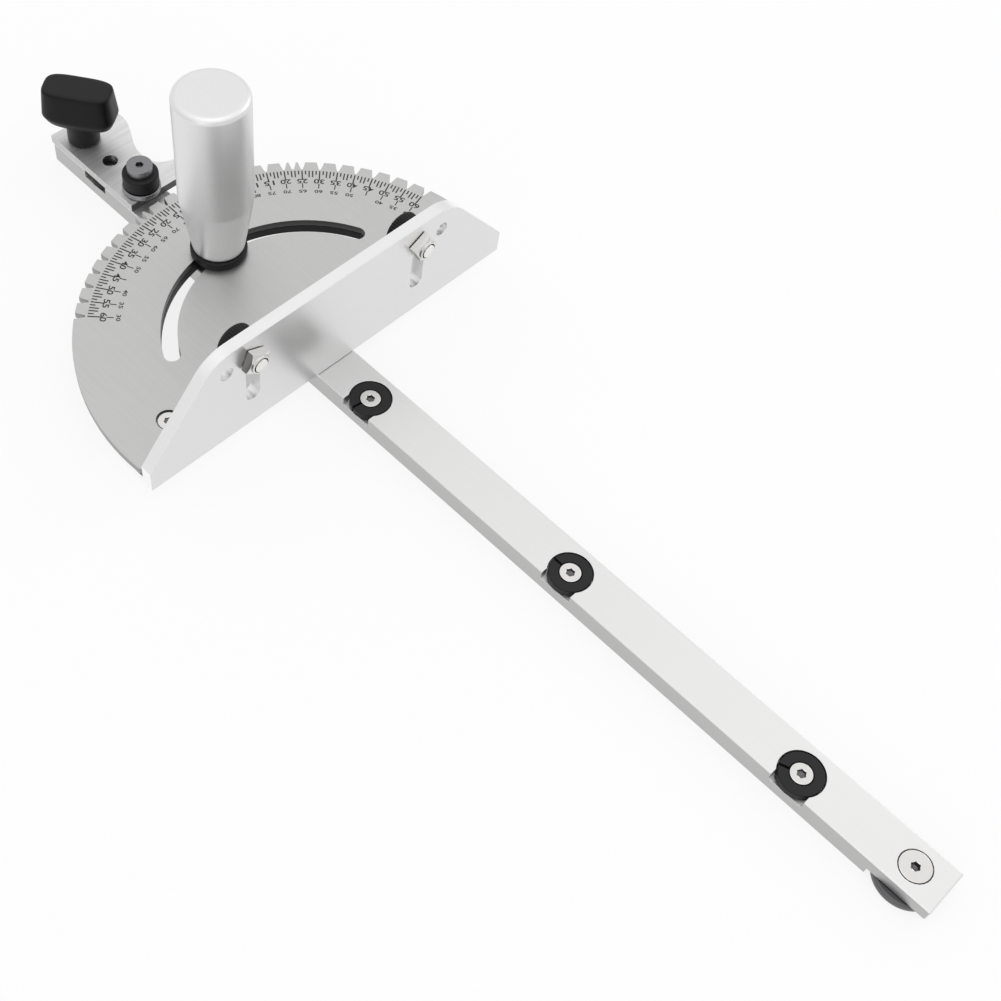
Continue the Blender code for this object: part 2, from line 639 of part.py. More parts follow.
def pivot(bush_material, screw_material):
    """The bush that the head turns on and the screw that holds it to the bar."""
    ring("pivot_bush", bush_material, (0, 0, 0), PIVOT_SHANK + BORE_GAP, PIVOT_BUSH_RADIUS,
         BAR_HEIGHT + SEAT_GAP, PLATE_TOP)
    cap_screw("pivot_screw", screw_material, (0, 0, 0), PIVOT_HEAD_RADIUS, PLATE_TOP + SEAT_GAP,
              PIVOT_HEAD_HEIGHT, PIVOT_SHANK, BLIND_FLOOR, PIVOT_KEY)


def stud(name, material, y, radius, top):
    """A threaded stud's plain body, set in the bar."""
    edge = SCREW_EDGE
    profile = [(0, top), (radius - edge, top), (radius, top - edge), (radius, BLIND_FLOOR), (0, BLIND_FLOOR)]
    return finish(make_object(name, turned(profile, SMALL_STEPS), material, (0, y, 0)))


def handle_profile():
    """The handle's half section: a blind bore, a foot, a straight taper up to the grip and a round top."""
    bore = STUD_RADIUS + BORE_GAP
    bore_top = HANDLE_Z + STUD_IN_HANDLE + SEAT_GAP
    profile = [(0, bore_top), (bore, bore_top), (bore, HANDLE_Z)]
    profile += [(HANDLE_FOOT_RADIUS - HANDLE_FOOT_EDGE, HANDLE_Z),
                (HANDLE_FOOT_RADIUS, HANDLE_Z + HANDLE_FOOT_EDGE),
                (HANDLE_RADIUS, HANDLE_Z + HANDLE_TAPER_HEIGHT)]
    profile += fillet(HANDLE_RADIUS - HANDLE_EDGE, HANDLE_TOP - HANDLE_EDGE, HANDLE_EDGE, 0, 90)
    return profile + [(0, HANDLE_TOP)]


def handle(metal, washer_material, stud_material):
    """The clamping handle on its stud, with its washer on the plate."""
    at = (0, HANDLE_Y, 0)
    bore = STUD_RADIUS + BORE_GAP
    axis = make_axis("handle_axis", at)
    grip = finish(make_object("handle", turned(handle_profile(), FINE_STEPS), metal, at, axis))
    washer = ring("handle_washer", washer_material, at, bore, HANDLE_WASHER_RADIUS,
                  HANDLE_WASHER_Z, HANDLE_WASHER_Z + HANDLE_WASHER_THICKNESS, HANDLE_WASHER_EDGE)
    washer.parent = axis
    washer.location = (0, 0, 0)
    stud("handle_stud", stud_material, HANDLE_Y, STUD_RADIUS, HANDLE_Z + STUD_IN_HANDLE)
    return grip


def index_outline():
    """The index plate's outline: a straight left side, a waist, a round head and an arm to the right."""
    left = -BAR_WIDTH / 2
    arm_back = INDEX_FRONT_Y + INDEX_ARM_DEPTH
    bend = INDEX_WAIST_RADIUS
    curve = arc((INDEX_WAIST_X + bend, arm_back + bend), bend, 270, 180, WAIST_STEPS)
    head_y = INDEX_BACK_Y - INDEX_HEAD_CORNER
    flare_y = INDEX_FRONT_Y + INDEX_FLARE_START
    flare = []
    for i in range(WAIST_STEPS + 1):
        share = i / WAIST_STEPS
        eased = (1 - math.cos(share * math.pi)) / 2
        x = INDEX_WAIST_X + (INDEX_HEAD_X - INDEX_WAIST_X) * eased
        flare.append((x, flare_y + (head_y - flare_y) * share))
    head = arc((INDEX_HEAD_X - INDEX_HEAD_CORNER, head_y), INDEX_HEAD_CORNER, 0, 90, WAIST_STEPS)
    arm = [(INDEX_ARM_X, INDEX_FRONT_Y), (INDEX_ARM_X, arm_back)]
    return [(left, INDEX_FRONT_Y)] + arm + curve + flare + head[1:] + [(left, INDEX_BACK_Y)]


def index_slot(y):
    """A straight slot that lets the plate travel towards the head past a fixed stud."""
    outline = stadium(0, STUD_SLOT_HALF, y, y + INDEX_TRAVEL)
    return make_object("index_slot", prism(outline, INDEX_Z - REACH, INDEX_TOP + REACH))


def tooth_places():
    """Where the tooth's tip lies when it is drawn back, and when it is in the notch."""
    seated = Vector(polar(NOTCH_ROOT + TOOTH_GAP, SCALE_TURN))
    drawn = seated + Vector((0, INDEX_TRAVEL))
    return drawn, seated


def tooth_point(along, across):
    """A point of the tooth: along from its tip, outwards, and across from its middle line."""
    drawn, _ = tooth_places()
    angle = math.radians(SCALE_TURN)
    outward = Vector((math.sin(angle), math.cos(angle)))
    aside = Vector((math.cos(angle), -math.sin(angle)))
    point = drawn + outward * along + aside * across
    return (point.x, point.y)


def index_tooth(material, screw_material, axis):
    """The tooth on the arm, with flanks that match a notch, and its screw."""
    flank = (NOTCH_MOUTH - NOTCH_FLOOR) / 2 / NOTCH_DEPTH
    tip = NOTCH_FLOOR / 2 + flank * TOOTH_GAP - TOOTH_GAP * math.hypot(1, flank)
    tip = max(tip, TOOTH_POINT)
    wide = tip + flank * TOOTH_SHOULDER
    half = TOOTH_WIDTH / 2
    right = [(0, tip), (TOOTH_SHOULDER, wide), (TOOTH_SHOULDER + half - wide, half), (TOOTH_LENGTH, half)]
    outline = [tooth_point(along, across) for along, across in right]
    outline += [tooth_point(along, -across) for along, across in reversed(right)]
    tooth = make_object("index_tooth", prism(outline, ON_INDEX, ON_INDEX + TOOTH_THICKNESS), material)
    at = (*tooth_point(TOOTH_LENGTH - TOOTH_SCREW_INSET, 0), 0)
    bore = TOOTH_SCREW_SHANK + BORE_GAP
    cut(tooth, hole(bore, at, ON_INDEX - REACH, ON_INDEX + TOOTH_THICKNESS + REACH))
    tooth.parent = axis
    tooth.location = -axis.location
    finish(tooth)
    cap_screw("tooth_screw", screw_material, at, TOOTH_SCREW_HEAD, ON_INDEX + TOOTH_THICKNESS + SEAT_GAP,
              TOOTH_SCREW_HEIGHT, TOOTH_SCREW_SHANK, INDEX_Z + SEAT_GAP, TOOTH_SCREW_KEY,
              TOOTH_SCREW_EDGE, axis)
    return at


def index_mechanism(steel, screw_material):
    """The sliding plate with its slots and its key hole, the tooth and the tooth's screw."""
    axis = make_axis("index_slide", (0, KNOB_Y, INDEX_Z))
    at = index_tooth(steel, screw_material, axis)
    plate = make_object("index_plate", prism(index_outline(), INDEX_Z, INDEX_TOP), steel)
    cut(plate, index_slot(GUIDE_Y), index_slot(KNOB_Y),
        hole(KEY_HOLE_RADIUS, (0, DISC_FAR_Y + KEY_HOLE_LEAD, 0), INDEX_Z - REACH, INDEX_TOP + REACH),
        hole(TOOTH_SCREW_SHANK + BORE_GAP, at, INDEX_Z - REACH, INDEX_TOP + REACH))
    plate.parent = axis
    plate.location = -axis.location
    return finish(plate)


def guide(metal, sleeve_material):
    """The boss, the sleeve and the screw at the front of the index plate."""
    at = (0, GUIDE_Y, 0)
    bore = STUD_RADIUS + BORE_GAP
    ring("guide_boss", metal, at, bore, GUIDE_BOSS_RADIUS,
         ON_INDEX, ON_INDEX + GUIDE_BOSS_HEIGHT, GUIDE_BOSS_EDGE)
    ring("guide_sleeve", sleeve_material, at, bore, GUIDE_SLEEVE_RADIUS,
         GUIDE_SLEEVE_Z, GUIDE_SLEEVE_Z + GUIDE_SLEEVE_HEIGHT, GUIDE_SLEEVE_EDGE)
    cap_screw("guide_screw", metal, at, GUIDE_HEAD_RADIUS, GUIDE_HEAD_Z, GUIDE_HEAD_HEIGHT,
              STUD_RADIUS, BLIND_FLOOR, GUIDE_KEY)


def rounded_rectangle(length, width, corner, steps=EDGE_STEPS):
    """Points round a rectangle with round corners, centred on the axis."""
    x = length / 2 - corner
    y = width / 2 - corner
    points = []
    for number, centre in enumerate(((x, y), (-x, y), (-x, -y), (x, -y))):
        points += arc(centre, corner, 90 * number, 90 * number + 90, steps)
    return points


def ring_of_verts(shape, points, height, rise=0.0, reach=1.0):
    """A ring of vertices at a height, lifted towards the wing's ends by a square law."""
    return [shape.verts.new((x, y, height + rise * (x / reach) ** 2)) for x, y in points]


def index_knob(material, stud_material):
    """The T knob: a round neck under a wing that is widest near its underside, on its stud."""
    shape = bmesh.new()
    half = KNOB_WING_LENGTH / 2
    low = KNOB_WING_Z
    top = low + KNOB_WING_HEIGHT
    corner = KNOB_WING_CORNER
    neck = rounded_rectangle(2 * KNOB_NECK_RADIUS, 2 * KNOB_NECK_RADIUS, corner)
    spin = [math.atan2(y, x) for x, y in neck]
    count = len(neck)
    rings = []
    for height in (ON_INDEX, low):
        points = [(KNOB_NECK_RADIUS * math.cos(a), KNOB_NECK_RADIUS * math.sin(a)) for a in spin]
        rings.append(ring_of_verts(shape, points, height))
    underside = [(-KNOB_WING_TAPER, low, KNOB_WING_RISE), (0, low + KNOB_WING_BULGE, KNOB_WING_RISE)]
    rounding = fillet(-KNOB_WING_DRAFT - KNOB_EDGE, top - KNOB_EDGE, KNOB_EDGE, 0, 90, KNOB_EDGE_STEPS)
    for inset, height, rise in underside + [(inset, height, 0) for inset, height in rounding]:
        length = KNOB_WING_LENGTH + 2 * inset
        width = KNOB_WING_THICKNESS + 2 * inset
        points = rounded_rectangle(length, width, min(corner, width / 2 - KNOB_LEAST_FLAT))
        rings.append(ring_of_verts(shape, points, height, rise, half))
    for below, above in zip(rings, rings[1:]):
        for i in range(count):
            j = (i + 1) % count
            shape.faces.new((below[i], below[j], above[j], above[i]))
    shape.faces.new(list(reversed(rings[0])))
    shape.faces.new(rings[-1])
    axis = make_axis("index_knob_axis", (0, KNOB_Y, 0))
    knob = make_object("index_knob", shape, material)
    cut(knob, hole(STUD_RADIUS + BORE_GAP, (0, 0, 0), ON_INDEX - REACH, ON_INDEX + STUD_IN_KNOB + SEAT_GAP))
    knob.parent = axis
    knob.rotation_euler = (0, 0, math.radians(KNOB_TURN))
    finish(knob)
    stud("knob_stud", stud_material, KNOB_Y, STUD_RADIUS, ON_INDEX + STUD_IN_KNOB)
    return knob


def ribbed_outline(radius, ribs, depth):
    """A round outline with fine ribs, two points to a rib."""
    points = []
    for i in range(2 * ribs):
        size = radius - depth * (i % 2)
        angle = math.pi * i / ribs
        points.append((size * math.cos(angle), size * math.sin(angle)))
    return points


def ribbed_knob(radius, ribs, depth, low, high, edge):
    """A knob's body between two heights, with its ribs running out in the edge at its top."""
    shape = bmesh.new()
    levels = ((low, 0, depth), (high - edge, 0, depth), (high, edge, depth / 2))
    rings = []
    for height, inset, rib in levels:
        outline = ribbed_outline(radius - inset, ribs, rib)
        rings.append([shape.verts.new((x, y, height)) for x, y in outline])
    count = 2 * ribs
    for below, above in zip(rings, rings[1:]):
        for i in range(count):
            j = (i + 1) % count
            shape.faces.new((below[i], below[j], above[j], above[i]))
    shape.faces.new(list(reversed(rings[0])))
    shape.faces.new(rings[-1])
    return shape


def fence_hardware(side, word, bright, black, head_axis):
    """A nut on the fence's face, the bolt in its slot and the knob moulded on the bolt's back end.

    Each piece is built with its heights measured backwards from the leg's front face.
    """
    backwards = (-math.pi / 2, 0, 0)
    at = Vector((side * FENCE_SLOT_X, LEG_FRONT_Y, FENCE_BOLT_Z))
    axis = make_axis(word + "_slide", at)
    axis.parent = head_axis
    nut_top = -SEAT_GAP
    nut_face = nut_top - NUT_THICKNESS
    chamfer = SCREW_EDGE
    corner = NUT_FLATS / math.sqrt(3)
    nut = make_object("hex_nut_" + word, prism(hexagon(NUT_FLATS), nut_face, nut_top), bright)
    cone = turned([(0, nut_face), (corner - 2 * chamfer, nut_face), (corner, nut_face + chamfer),
                   (corner, nut_top), (0, nut_top)], ROUND_STEPS)
    cut(nut, make_object("cone", cone), operation="INTERSECT")
    cut(nut, hole(BOLT_RADIUS + BORE_GAP, (0, 0, 0), nut_face - REACH, nut_top + REACH))
    knob_front = LEG_THICKNESS + SEAT_GAP
    bolt_end = nut_face - BOLT_PROUD
    bolt_back = knob_front + BOLT_IN_KNOB
    profile = [(0, bolt_back), (BOLT_RADIUS, bolt_back), (BOLT_RADIUS, bolt_end + chamfer),
               (BOLT_RADIUS - chamfer, bolt_end), (0, bolt_end)]
    bolt = make_object("fence_bolt_" + word, turned(profile, SMALL_STEPS), bright)
    body = ribbed_knob(FENCE_KNOB_RADIUS, FENCE_KNOB_RIBS, FENCE_KNOB_RIB_DEPTH,
                       knob_front, knob_front + FENCE_KNOB_LENGTH, FENCE_KNOB_EDGE)
    knob = make_object("fence_knob_" + word, body, black)
    cut(knob, hole(BOLT_RADIUS + BORE_GAP, (0, 0, 0), knob_front - REACH, bolt_back + SEAT_GAP))
    for piece in (nut, bolt, knob):
        finish(piece)
        piece.rotation_euler = backwards
        piece.parent = axis


def build():
    """Make every piece."""
    clear_scene()
    bar_metal = make_material("bar_aluminium", (0.78, 0.78, 0.77), 0.38, 1)
    fence_metal = make_material("fence_aluminium", (0.86, 0.86, 0.86), 0.34, 1)
    handle_metal = make_material("handle_aluminium", (0.74, 0.74, 0.75), 0.36, 1)
    steel = make_material("plate_steel", (0.6, 0.6, 0.59), 0.42, 1)
    bright = make_material("screw_steel", (0.72, 0.71, 0.68), 0.25, 1)
    dark = make_material("washer_steel", (0.3, 0.3, 0.31), 0.4, 1)
    nylon = make_material("black_nylon", (0.012, 0.012, 0.013), 0.5, 0)
    plastic = make_material("black_plastic", (0.01, 0.01, 0.011), 0.42, 0)
    miter_bar(bar_metal)
    for number, y in enumerate(DISC_CENTRES, 1):
        side_disc(number, y, nylon, bright)
    t_slot_washer(dark, bright)
    head_axis = make_axis("head_pivot", (0, 0, 0))
    fence_bracket(fence_metal, head_axis)
    protractor_plate(steel, head_axis)
    slot_spacer(nylon, head_axis)
    bracket_screws(bright, head_axis)
    pivot(dark, bright)
    handle(handle_metal, nylon, bright)
    index_mechanism(steel, bright)
    guide(dark, nylon)
    index_knob(plastic, bright)
    for side, word in ((-1, "left"), (1, "right")):
        fence_hardware(side, word, bright, plastic, head_axis)


build()
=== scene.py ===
# %% [markdown]
# # Miter gauge
# A miter gauge slides along the slot of a saw table and holds a board at a set angle. Here the packed
# model is the fixed frame, and this script gives it its looks: turned, moulded and edge-broken
# pieces, an etched scale, real finishes, soft light and a camera fitted to the photograph.

import math

import bmesh
import bpy
import numpy as np
from mathutils import Matrix, Vector


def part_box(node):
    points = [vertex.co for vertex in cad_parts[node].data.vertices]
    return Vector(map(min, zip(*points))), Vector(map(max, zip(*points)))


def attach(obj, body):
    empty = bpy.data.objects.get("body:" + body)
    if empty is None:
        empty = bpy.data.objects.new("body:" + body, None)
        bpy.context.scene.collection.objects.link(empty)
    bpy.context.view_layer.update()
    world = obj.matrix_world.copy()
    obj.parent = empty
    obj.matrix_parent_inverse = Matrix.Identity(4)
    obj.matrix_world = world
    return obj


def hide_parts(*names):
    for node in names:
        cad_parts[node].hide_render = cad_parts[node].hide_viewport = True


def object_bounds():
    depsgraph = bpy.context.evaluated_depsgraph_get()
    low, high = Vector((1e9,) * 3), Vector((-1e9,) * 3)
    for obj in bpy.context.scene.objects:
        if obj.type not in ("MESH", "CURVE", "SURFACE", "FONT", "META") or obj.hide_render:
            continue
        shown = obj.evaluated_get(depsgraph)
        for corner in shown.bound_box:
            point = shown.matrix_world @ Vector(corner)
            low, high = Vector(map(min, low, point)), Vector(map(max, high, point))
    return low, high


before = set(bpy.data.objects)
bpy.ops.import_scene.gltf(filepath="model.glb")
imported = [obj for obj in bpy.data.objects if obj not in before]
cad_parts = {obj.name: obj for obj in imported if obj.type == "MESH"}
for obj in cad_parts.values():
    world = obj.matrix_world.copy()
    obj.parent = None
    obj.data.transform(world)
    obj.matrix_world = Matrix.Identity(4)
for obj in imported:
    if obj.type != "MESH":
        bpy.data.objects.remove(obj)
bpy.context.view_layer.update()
MM = 0.001

# %% [markdown]
# ## Camera
# A lens is told by where it stands, where it looks, how far it is rolled, how long it is and how far
# its axis is shifted. These were fitted to corners, scale lines and screws that can be told apart in
# the picture, with this model's own sizes taken as given, and the fit misses them by about 1.3
# pixels. The small shift stands for the picture's crop.

# %% Camera
FRAME_PIXELS = 1001
CAMERA_PLACE = Vector((-252.92, -269.71, 454.5)) * MM
CAMERA_AZIMUTH = math.radians(-48.378)
CAMERA_ELEVATION = math.radians(56.34)
CAMERA_ROLL = math.radians(5.637)
FOCAL_PIXELS = 1476.8
SENSOR = 36.0
LENS_SHIFT = 0.12


def aim(azimuth, elevation, roll):
    """Axes of a camera that looks down its -Z: back from the subject, right and up turned by the roll."""
    back = Vector((math.sin(azimuth) * math.cos(elevation), -math.cos(azimuth) * math.cos(elevation),
                   math.sin(elevation)))
    right = Vector((0, 0, 1)).cross(back).normalized()
    up = back.cross(right)
    across = right * math.cos(roll) + up * math.sin(roll)
    above = up * math.cos(roll) - right * math.sin(roll)
    return Matrix((across, above, back)).transposed().to_4x4()


lens = bpy.data.cameras.new("camera")
lens.sensor_width = SENSOR
lens.lens = FOCAL_PIXELS / FRAME_PIXELS * SENSOR
lens.shift_x = LENS_SHIFT
lens.clip_start = 20 * MM
camera = bpy.data.objects.new("camera", lens)
bpy.context.scene.collection.objects.link(camera)
camera.matrix_world = Matrix.Translation(CAMERA_PLACE) @ aim(CAMERA_AZIMUTH, CAMERA_ELEVATION, CAMERA_ROLL)
bpy.context.scene.camera = camera
print("lens %.1f mm" % lens.lens)

# %% [markdown]
# ## Sums on sockets
# A material's pattern is arithmetic on a point's place. Wrapping a node's output in a small class
# lets that arithmetic be written as plain Python, and each sign adds the Math node it stands for.

# %% Shader arithmetic
class Wire:
    """An output of a material's node that takes part in Python sums."""

    def __init__(self, tree, socket):
        self.tree = tree
        self.socket = socket

    def math(self, operation, *values):
        """One Math node on the values."""
        return node(self.tree, "ShaderNodeMath", {"operation": operation}, *values)

    def __add__(self, other):
        return self.math("ADD", self, other)

    def __sub__(self, other):
        return self.math("SUBTRACT", self, other)

    def __rsub__(self, other):
        return self.math("SUBTRACT", other, self)

    def __mul__(self, other):
        return self.math("MULTIPLY", self, other)

    __radd__ = __add__
    __rmul__ = __mul__


def node(tree, kind, settings=None, *values, output=0, **named):
    """Add a node: its settings first, then the values or wires of its inputs in order or by name."""
    made = tree.nodes.new(kind)
    for name, value in (settings or {}).items():
        setattr(made, name, value)
    pairs = list(enumerate(values)) + [(name.replace("_", " "), value) for name, value in named.items()]
    for key, value in pairs:
        if isinstance(value, Wire):
            tree.links.new(value.socket, made.inputs[key])
        elif value is not None:
            made.inputs[key].default_value = value
    return Wire(tree, made.outputs[output])


def new_material(name, colour, roughness, metallic, **constants):
    """A Principled material; returns it with its tree and its shader."""
    material = bpy.data.materials.new(name)
    material.use_nodes = True
    shader = material.node_tree.nodes["Principled BSDF"]
    shader.inputs["Base Color"].default_value = (*colour, 1)
    shader.inputs["Roughness"].default_value = roughness
    shader.inputs["Metallic"].default_value = metallic
    for socket, value in constants.items():
        shader.inputs[socket.replace("_", " ")].default_value = value
    return material, material.node_tree, shader


def place(tree, scale=(1, 1, 1), turn=0.0):
    """The point's own place in metres, stretched and then turned about Z."""
    where = node(tree, "ShaderNodeTexCoord", output="Object")
    return node(tree, "ShaderNodeMapping", None, where, Scale=scale, Rotation=(0, 0, turn))


def noise(tree, vector, scale, detail=2.0, roughness=0.5):
    """Soft noise between 0 and 1 round a half."""
    return node(tree, "ShaderNodeTexNoise", None, vector, Scale=scale, Detail=detail, Roughness=roughness)


def bump(shader, tree, height, depth):
    """Feed a height between 0 and 1 to the shader's normal, as a relief of that depth in metres."""
    relief = node(tree, "ShaderNodeBump", None, Strength=1.0, Distance=depth, Height=height)
    tree.links.new(relief.socket, shader.inputs["Normal"])


def tint(tree, factor, dark, light):
    """A colour between two by a factor."""
    ends = {"A": (*dark, 1), "B": (*light, 1)}
    return node(tree, "ShaderNodeMix", {"data_type": "RGBA"}, output=2, Factor=factor, **ends)


print("shader arithmetic ready")

# %% [markdown]
# ## Metals
# Anodised aluminium is a soft mirror: its grain is too fine to see, and it only spreads the
# reflections. Drawn and brushed metal has scratches that all run one way, so its noise is stretched
# along them. They run along the bar on the bar itself and on the protractor plate, and across it on
# the fence and the index plate. Walls get painted shade: their colour is made darker by their normal,
# because the photograph's walls are darker than soft light alone makes them here.

# %% Metal finishes
MICRON = 0.001 * MM
CLOUD_SCALE = 60.0
ALONG_Y = (1, 0.03, 1)
ALONG_X = (0.03, 1, 1)


def facing(tree, axis, low, high):
    """0 where the normal has little of an axis (0, 1 or 2), 1 where it has much, with a soft step."""
    normal = node(tree, "ShaderNodeNewGeometry", output="Normal")
    part = node(tree, "ShaderNodeSeparateXYZ", None, normal, output=axis)
    share = part.math("ABSOLUTE", part)
    return node(tree, "ShaderNodeMapRange", {"interpolation_type": "SMOOTHSTEP"}, share,
                From_Min=low, From_Max=high)


def upright(tree):
    """1 on walls, 0 on level faces."""
    return 1 - facing(tree, 2, 0.45, 0.75)


def wall_tone(tree, side, front):
    """Painted shade on walls: 1 on level faces, side on walls that look along X, and front on walls that
    look along Y.
    """
    wall = upright(tree)
    along = facing(tree, 1, 0.5, 0.8)
    return 1 - wall * (1 - side - along * (front - side))


def satin_metal(name, colour, roughness, depth, stretch=(1, 1, 1), vary=0.05, scale=900.0, tone=0.02,
                side=1.0, front=1.0):
    """Fine grain along the smallest of stretch, as relief, tint and uneven roughness; painted shade on
    walls.
    """
    material, tree, shader = new_material(name, colour, roughness, 1.0)
    grain = noise(tree, place(tree, stretch), scale, detail=3.0, roughness=0.6)
    cloud = noise(tree, place(tree), CLOUD_SCALE)
    tree.links.new((grain * vary + cloud * vary + (roughness - vary)).socket, shader.inputs["Roughness"])
    dark = tuple(c * (1 - tone) for c in colour)
    light = tuple(min(1.0, c * (1 + tone)) for c in colour)
    shade = tint(tree, grain, dark, light)
    walls = wall_tone(tree, side, front)
    dimmed = node(tree, "ShaderNodeVectorMath", {"operation": "SCALE"}, shade, Scale=walls)
    tree.links.new(dimmed.socket, shader.inputs["Base Color"])
    bump(shader, tree, grain, depth)
    return material


# The side and front shares are painted shade on walls: the bar's sides, the fence's face, the grip, the
# nuts' side walls, and the index plate's front walls, painted almost black as the black sleeve's reflection.
BAR_METAL = satin_metal("bar_satin", (0.84, 0.84, 0.835), 0.42, 1.5 * MICRON, ALONG_Y, side=0.6, front=0.9)
FENCE_METAL = satin_metal("fence_satin", (0.95, 0.95, 0.95), 0.32, 1 * MICRON, (0.04, 1, 1), front=0.78)
HANDLE_METAL = satin_metal("handle_blasted", (0.9, 0.9, 0.9), 0.42, 10 * MICRON, vary=0.06, scale=1500.0,
                           tone=0.06, side=0.86, front=0.86)
SCREW_METAL = satin_metal("screw_bright", (0.82, 0.81, 0.79), 0.2, 4 * MICRON, vary=0.06, scale=700.0)
NUT_METAL = satin_metal("nut_bright", (0.84, 0.83, 0.81), 0.24, 6 * MICRON, vary=0.06, scale=700.0,
                        side=0.28, front=0.85)
WASHER_METAL = satin_metal("washer_turned", (0.28, 0.28, 0.29), 0.34, 4 * MICRON, vary=0.08, scale=600.0)
DARK_METAL = satin_metal("washer_dark", (0.13, 0.13, 0.135), 0.34, 4 * MICRON, vary=0.08, scale=600.0)
SOCKET_DARK = satin_metal("socket_dark", (0.2, 0.2, 0.2), 0.4, 4 * MICRON, vary=0.06, scale=700.0)
INDEX_METAL = satin_metal("index_brushed", (0.87, 0.87, 0.865), 0.48, 10 * MICRON, ALONG_X, vary=0.1,
                          scale=800.0, tone=0.22, side=0.7, front=0.12)
print("metals: bar, fence, handle, screws, nuts, washers, dark washer, sockets, index")

# %% [markdown]
# ## The protractor's steel
# The plate is brushed too, and its walls get painted shade: the wall of its curved slot is painted
# dark, so that the slot reads as a dark line from above. One material does both: where the point lies
# between two radii and its surface stands upright, the colour turns almost black, and the other upright
# faces are only dimmer.

# %% Plate steel with painted shade on its walls
PLATE_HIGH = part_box("protractor_plate")[1]
PLATE_TOP = PLATE_HIGH.z
PLATE_RADIUS = PLATE_HIGH.y
SLOT_RADIUS = (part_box("handle")[0].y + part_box("handle")[1].y) / 2
SLOT_BAND = 4.2 * MM
SLOT_WALL_SHADE = 0.87
PLATE_WALL_SHADE = 0.45
SCRATCH_TURN = 0.35


def between(wire, low, high):
    """1 where a value lies between two limits, else 0."""
    return wire.math("GREATER_THAN", wire, low) * wire.math("LESS_THAN", wire, high)


def plate_steel():
    """Brushed steel with painted shade: dim on its walls and almost black where the radius is the slot's.

    The turn comes after the stretch, so it picks other scratches and doesn't change which way they run."""
    colour = (0.62, 0.62, 0.615)
    material, tree, shader = new_material("plate_brushed", colour, 0.38, 1.0)
    grain = noise(tree, place(tree, ALONG_Y, SCRATCH_TURN), 1000.0, detail=3.0, roughness=0.6)
    where = node(tree, "ShaderNodeTexCoord", output="Object")
    flat = node(tree, "ShaderNodeVectorMath", {"operation": "MULTIPLY"}, where, (1, 1, 0))
    radius = node(tree, "ShaderNodeVectorMath", {"operation": "LENGTH"}, flat, output="Value")
    slot = between(radius, SLOT_RADIUS - SLOT_BAND, SLOT_RADIUS + SLOT_BAND)
    # Painted shade: almost black on the slot's wall, dimmer on the other upright faces.
    dim = 1 - upright(tree) * (slot * (SLOT_WALL_SHADE - PLATE_WALL_SHADE) + PLATE_WALL_SHADE)
    steel = tint(tree, grain, tuple(c * 0.93 for c in colour), tuple(c * 1.07 for c in colour))
    paint = node(tree, "ShaderNodeVectorMath", {"operation": "SCALE"}, steel, Scale=dim)
    tree.links.new(paint.socket, shader.inputs["Base Color"])
    tree.links.new((grain * 0.14 + 0.33).socket, shader.inputs["Roughness"])
    bump(shader, tree, grain, 6 * MICRON)
    return material


PLATE_METAL = plate_steel()
print("slot wall at radius %.1f mm, give or take %.1f mm" % (SLOT_RADIUS / MM, SLOT_BAND / MM))

# %% [markdown]
# ## Plastics
# The knobs, the side discs, the sleeve, the spacer and the handle's washer are moulded in black. A
# mould leaves a very fine grain that keeps the highlights broad, so the material is almost black with
# a little relief. Level faces are painted paler, as painted light from above. The etched scale is
# black too, and slightly uneven.

# %% Moulded blacks
def moulded(name, walls, level, roughness, depth, scale):
    """Black plastic with painted light, paler on level faces: fine noise as relief, and a slow cloud on its
    roughness.
    """
    material, tree, shader = new_material(name, walls, roughness, 0.0, Specular_IOR_Level=0.2)
    shade = tint(tree, facing(tree, 2, 0.6, 0.95), walls, level)
    tree.links.new(shade.socket, shader.inputs["Base Color"])
    grain = noise(tree, place(tree), scale, detail=3.0, roughness=0.6)
    cloud = noise(tree, place(tree), 90.0)
    swing = 0.14
    tree.links.new((cloud * swing + (roughness - swing / 2)).socket, shader.inputs["Roughness"])
    bump(shader, tree, grain, depth)
    return material


# Each takes a colour for walls and a paler one for level faces, which is painted light.
KNOB_BLACK = moulded("knob_black", (0.002, 0.002, 0.002), (0.014, 0.014, 0.015), 0.4, 20 * MICRON, 1600.0)
NYLON_BLACK = moulded("nylon_black", (0.01, 0.01, 0.011), (0.022, 0.022, 0.023), 0.5, 30 * MICRON, 1300.0)
INK, ink_tree, ink_shader = new_material("etched_black", (0.02, 0.02, 0.021), 0.55, 0.0)
ink_grain = noise(ink_tree, place(ink_tree), 2500.0)
ink_tone = tint(ink_tree, ink_grain, (0.012, 0.012, 0.012), (0.04, 0.04, 0.04))
ink_tree.links.new(ink_tone.socket, ink_shader.inputs["Base Color"])
print("blacks: knob, nylon, ink")

# %% [markdown]
# ## Surfaces from arrays
# A turned piece is a profile carried round an axis: with the profile in one array and the angles in
# another, an outer product gives every point at once. Real edges are never quite sharp, so each
# corner of a profile is first swapped for a small curve, with a close point on each side that keeps
# the flats flat when they are shaded smooth.

# %% Profiles and grids
CURVE_STEPS = 4
EDGE_SHARE = 0.4
SUPPORT_SHARE = 0.2


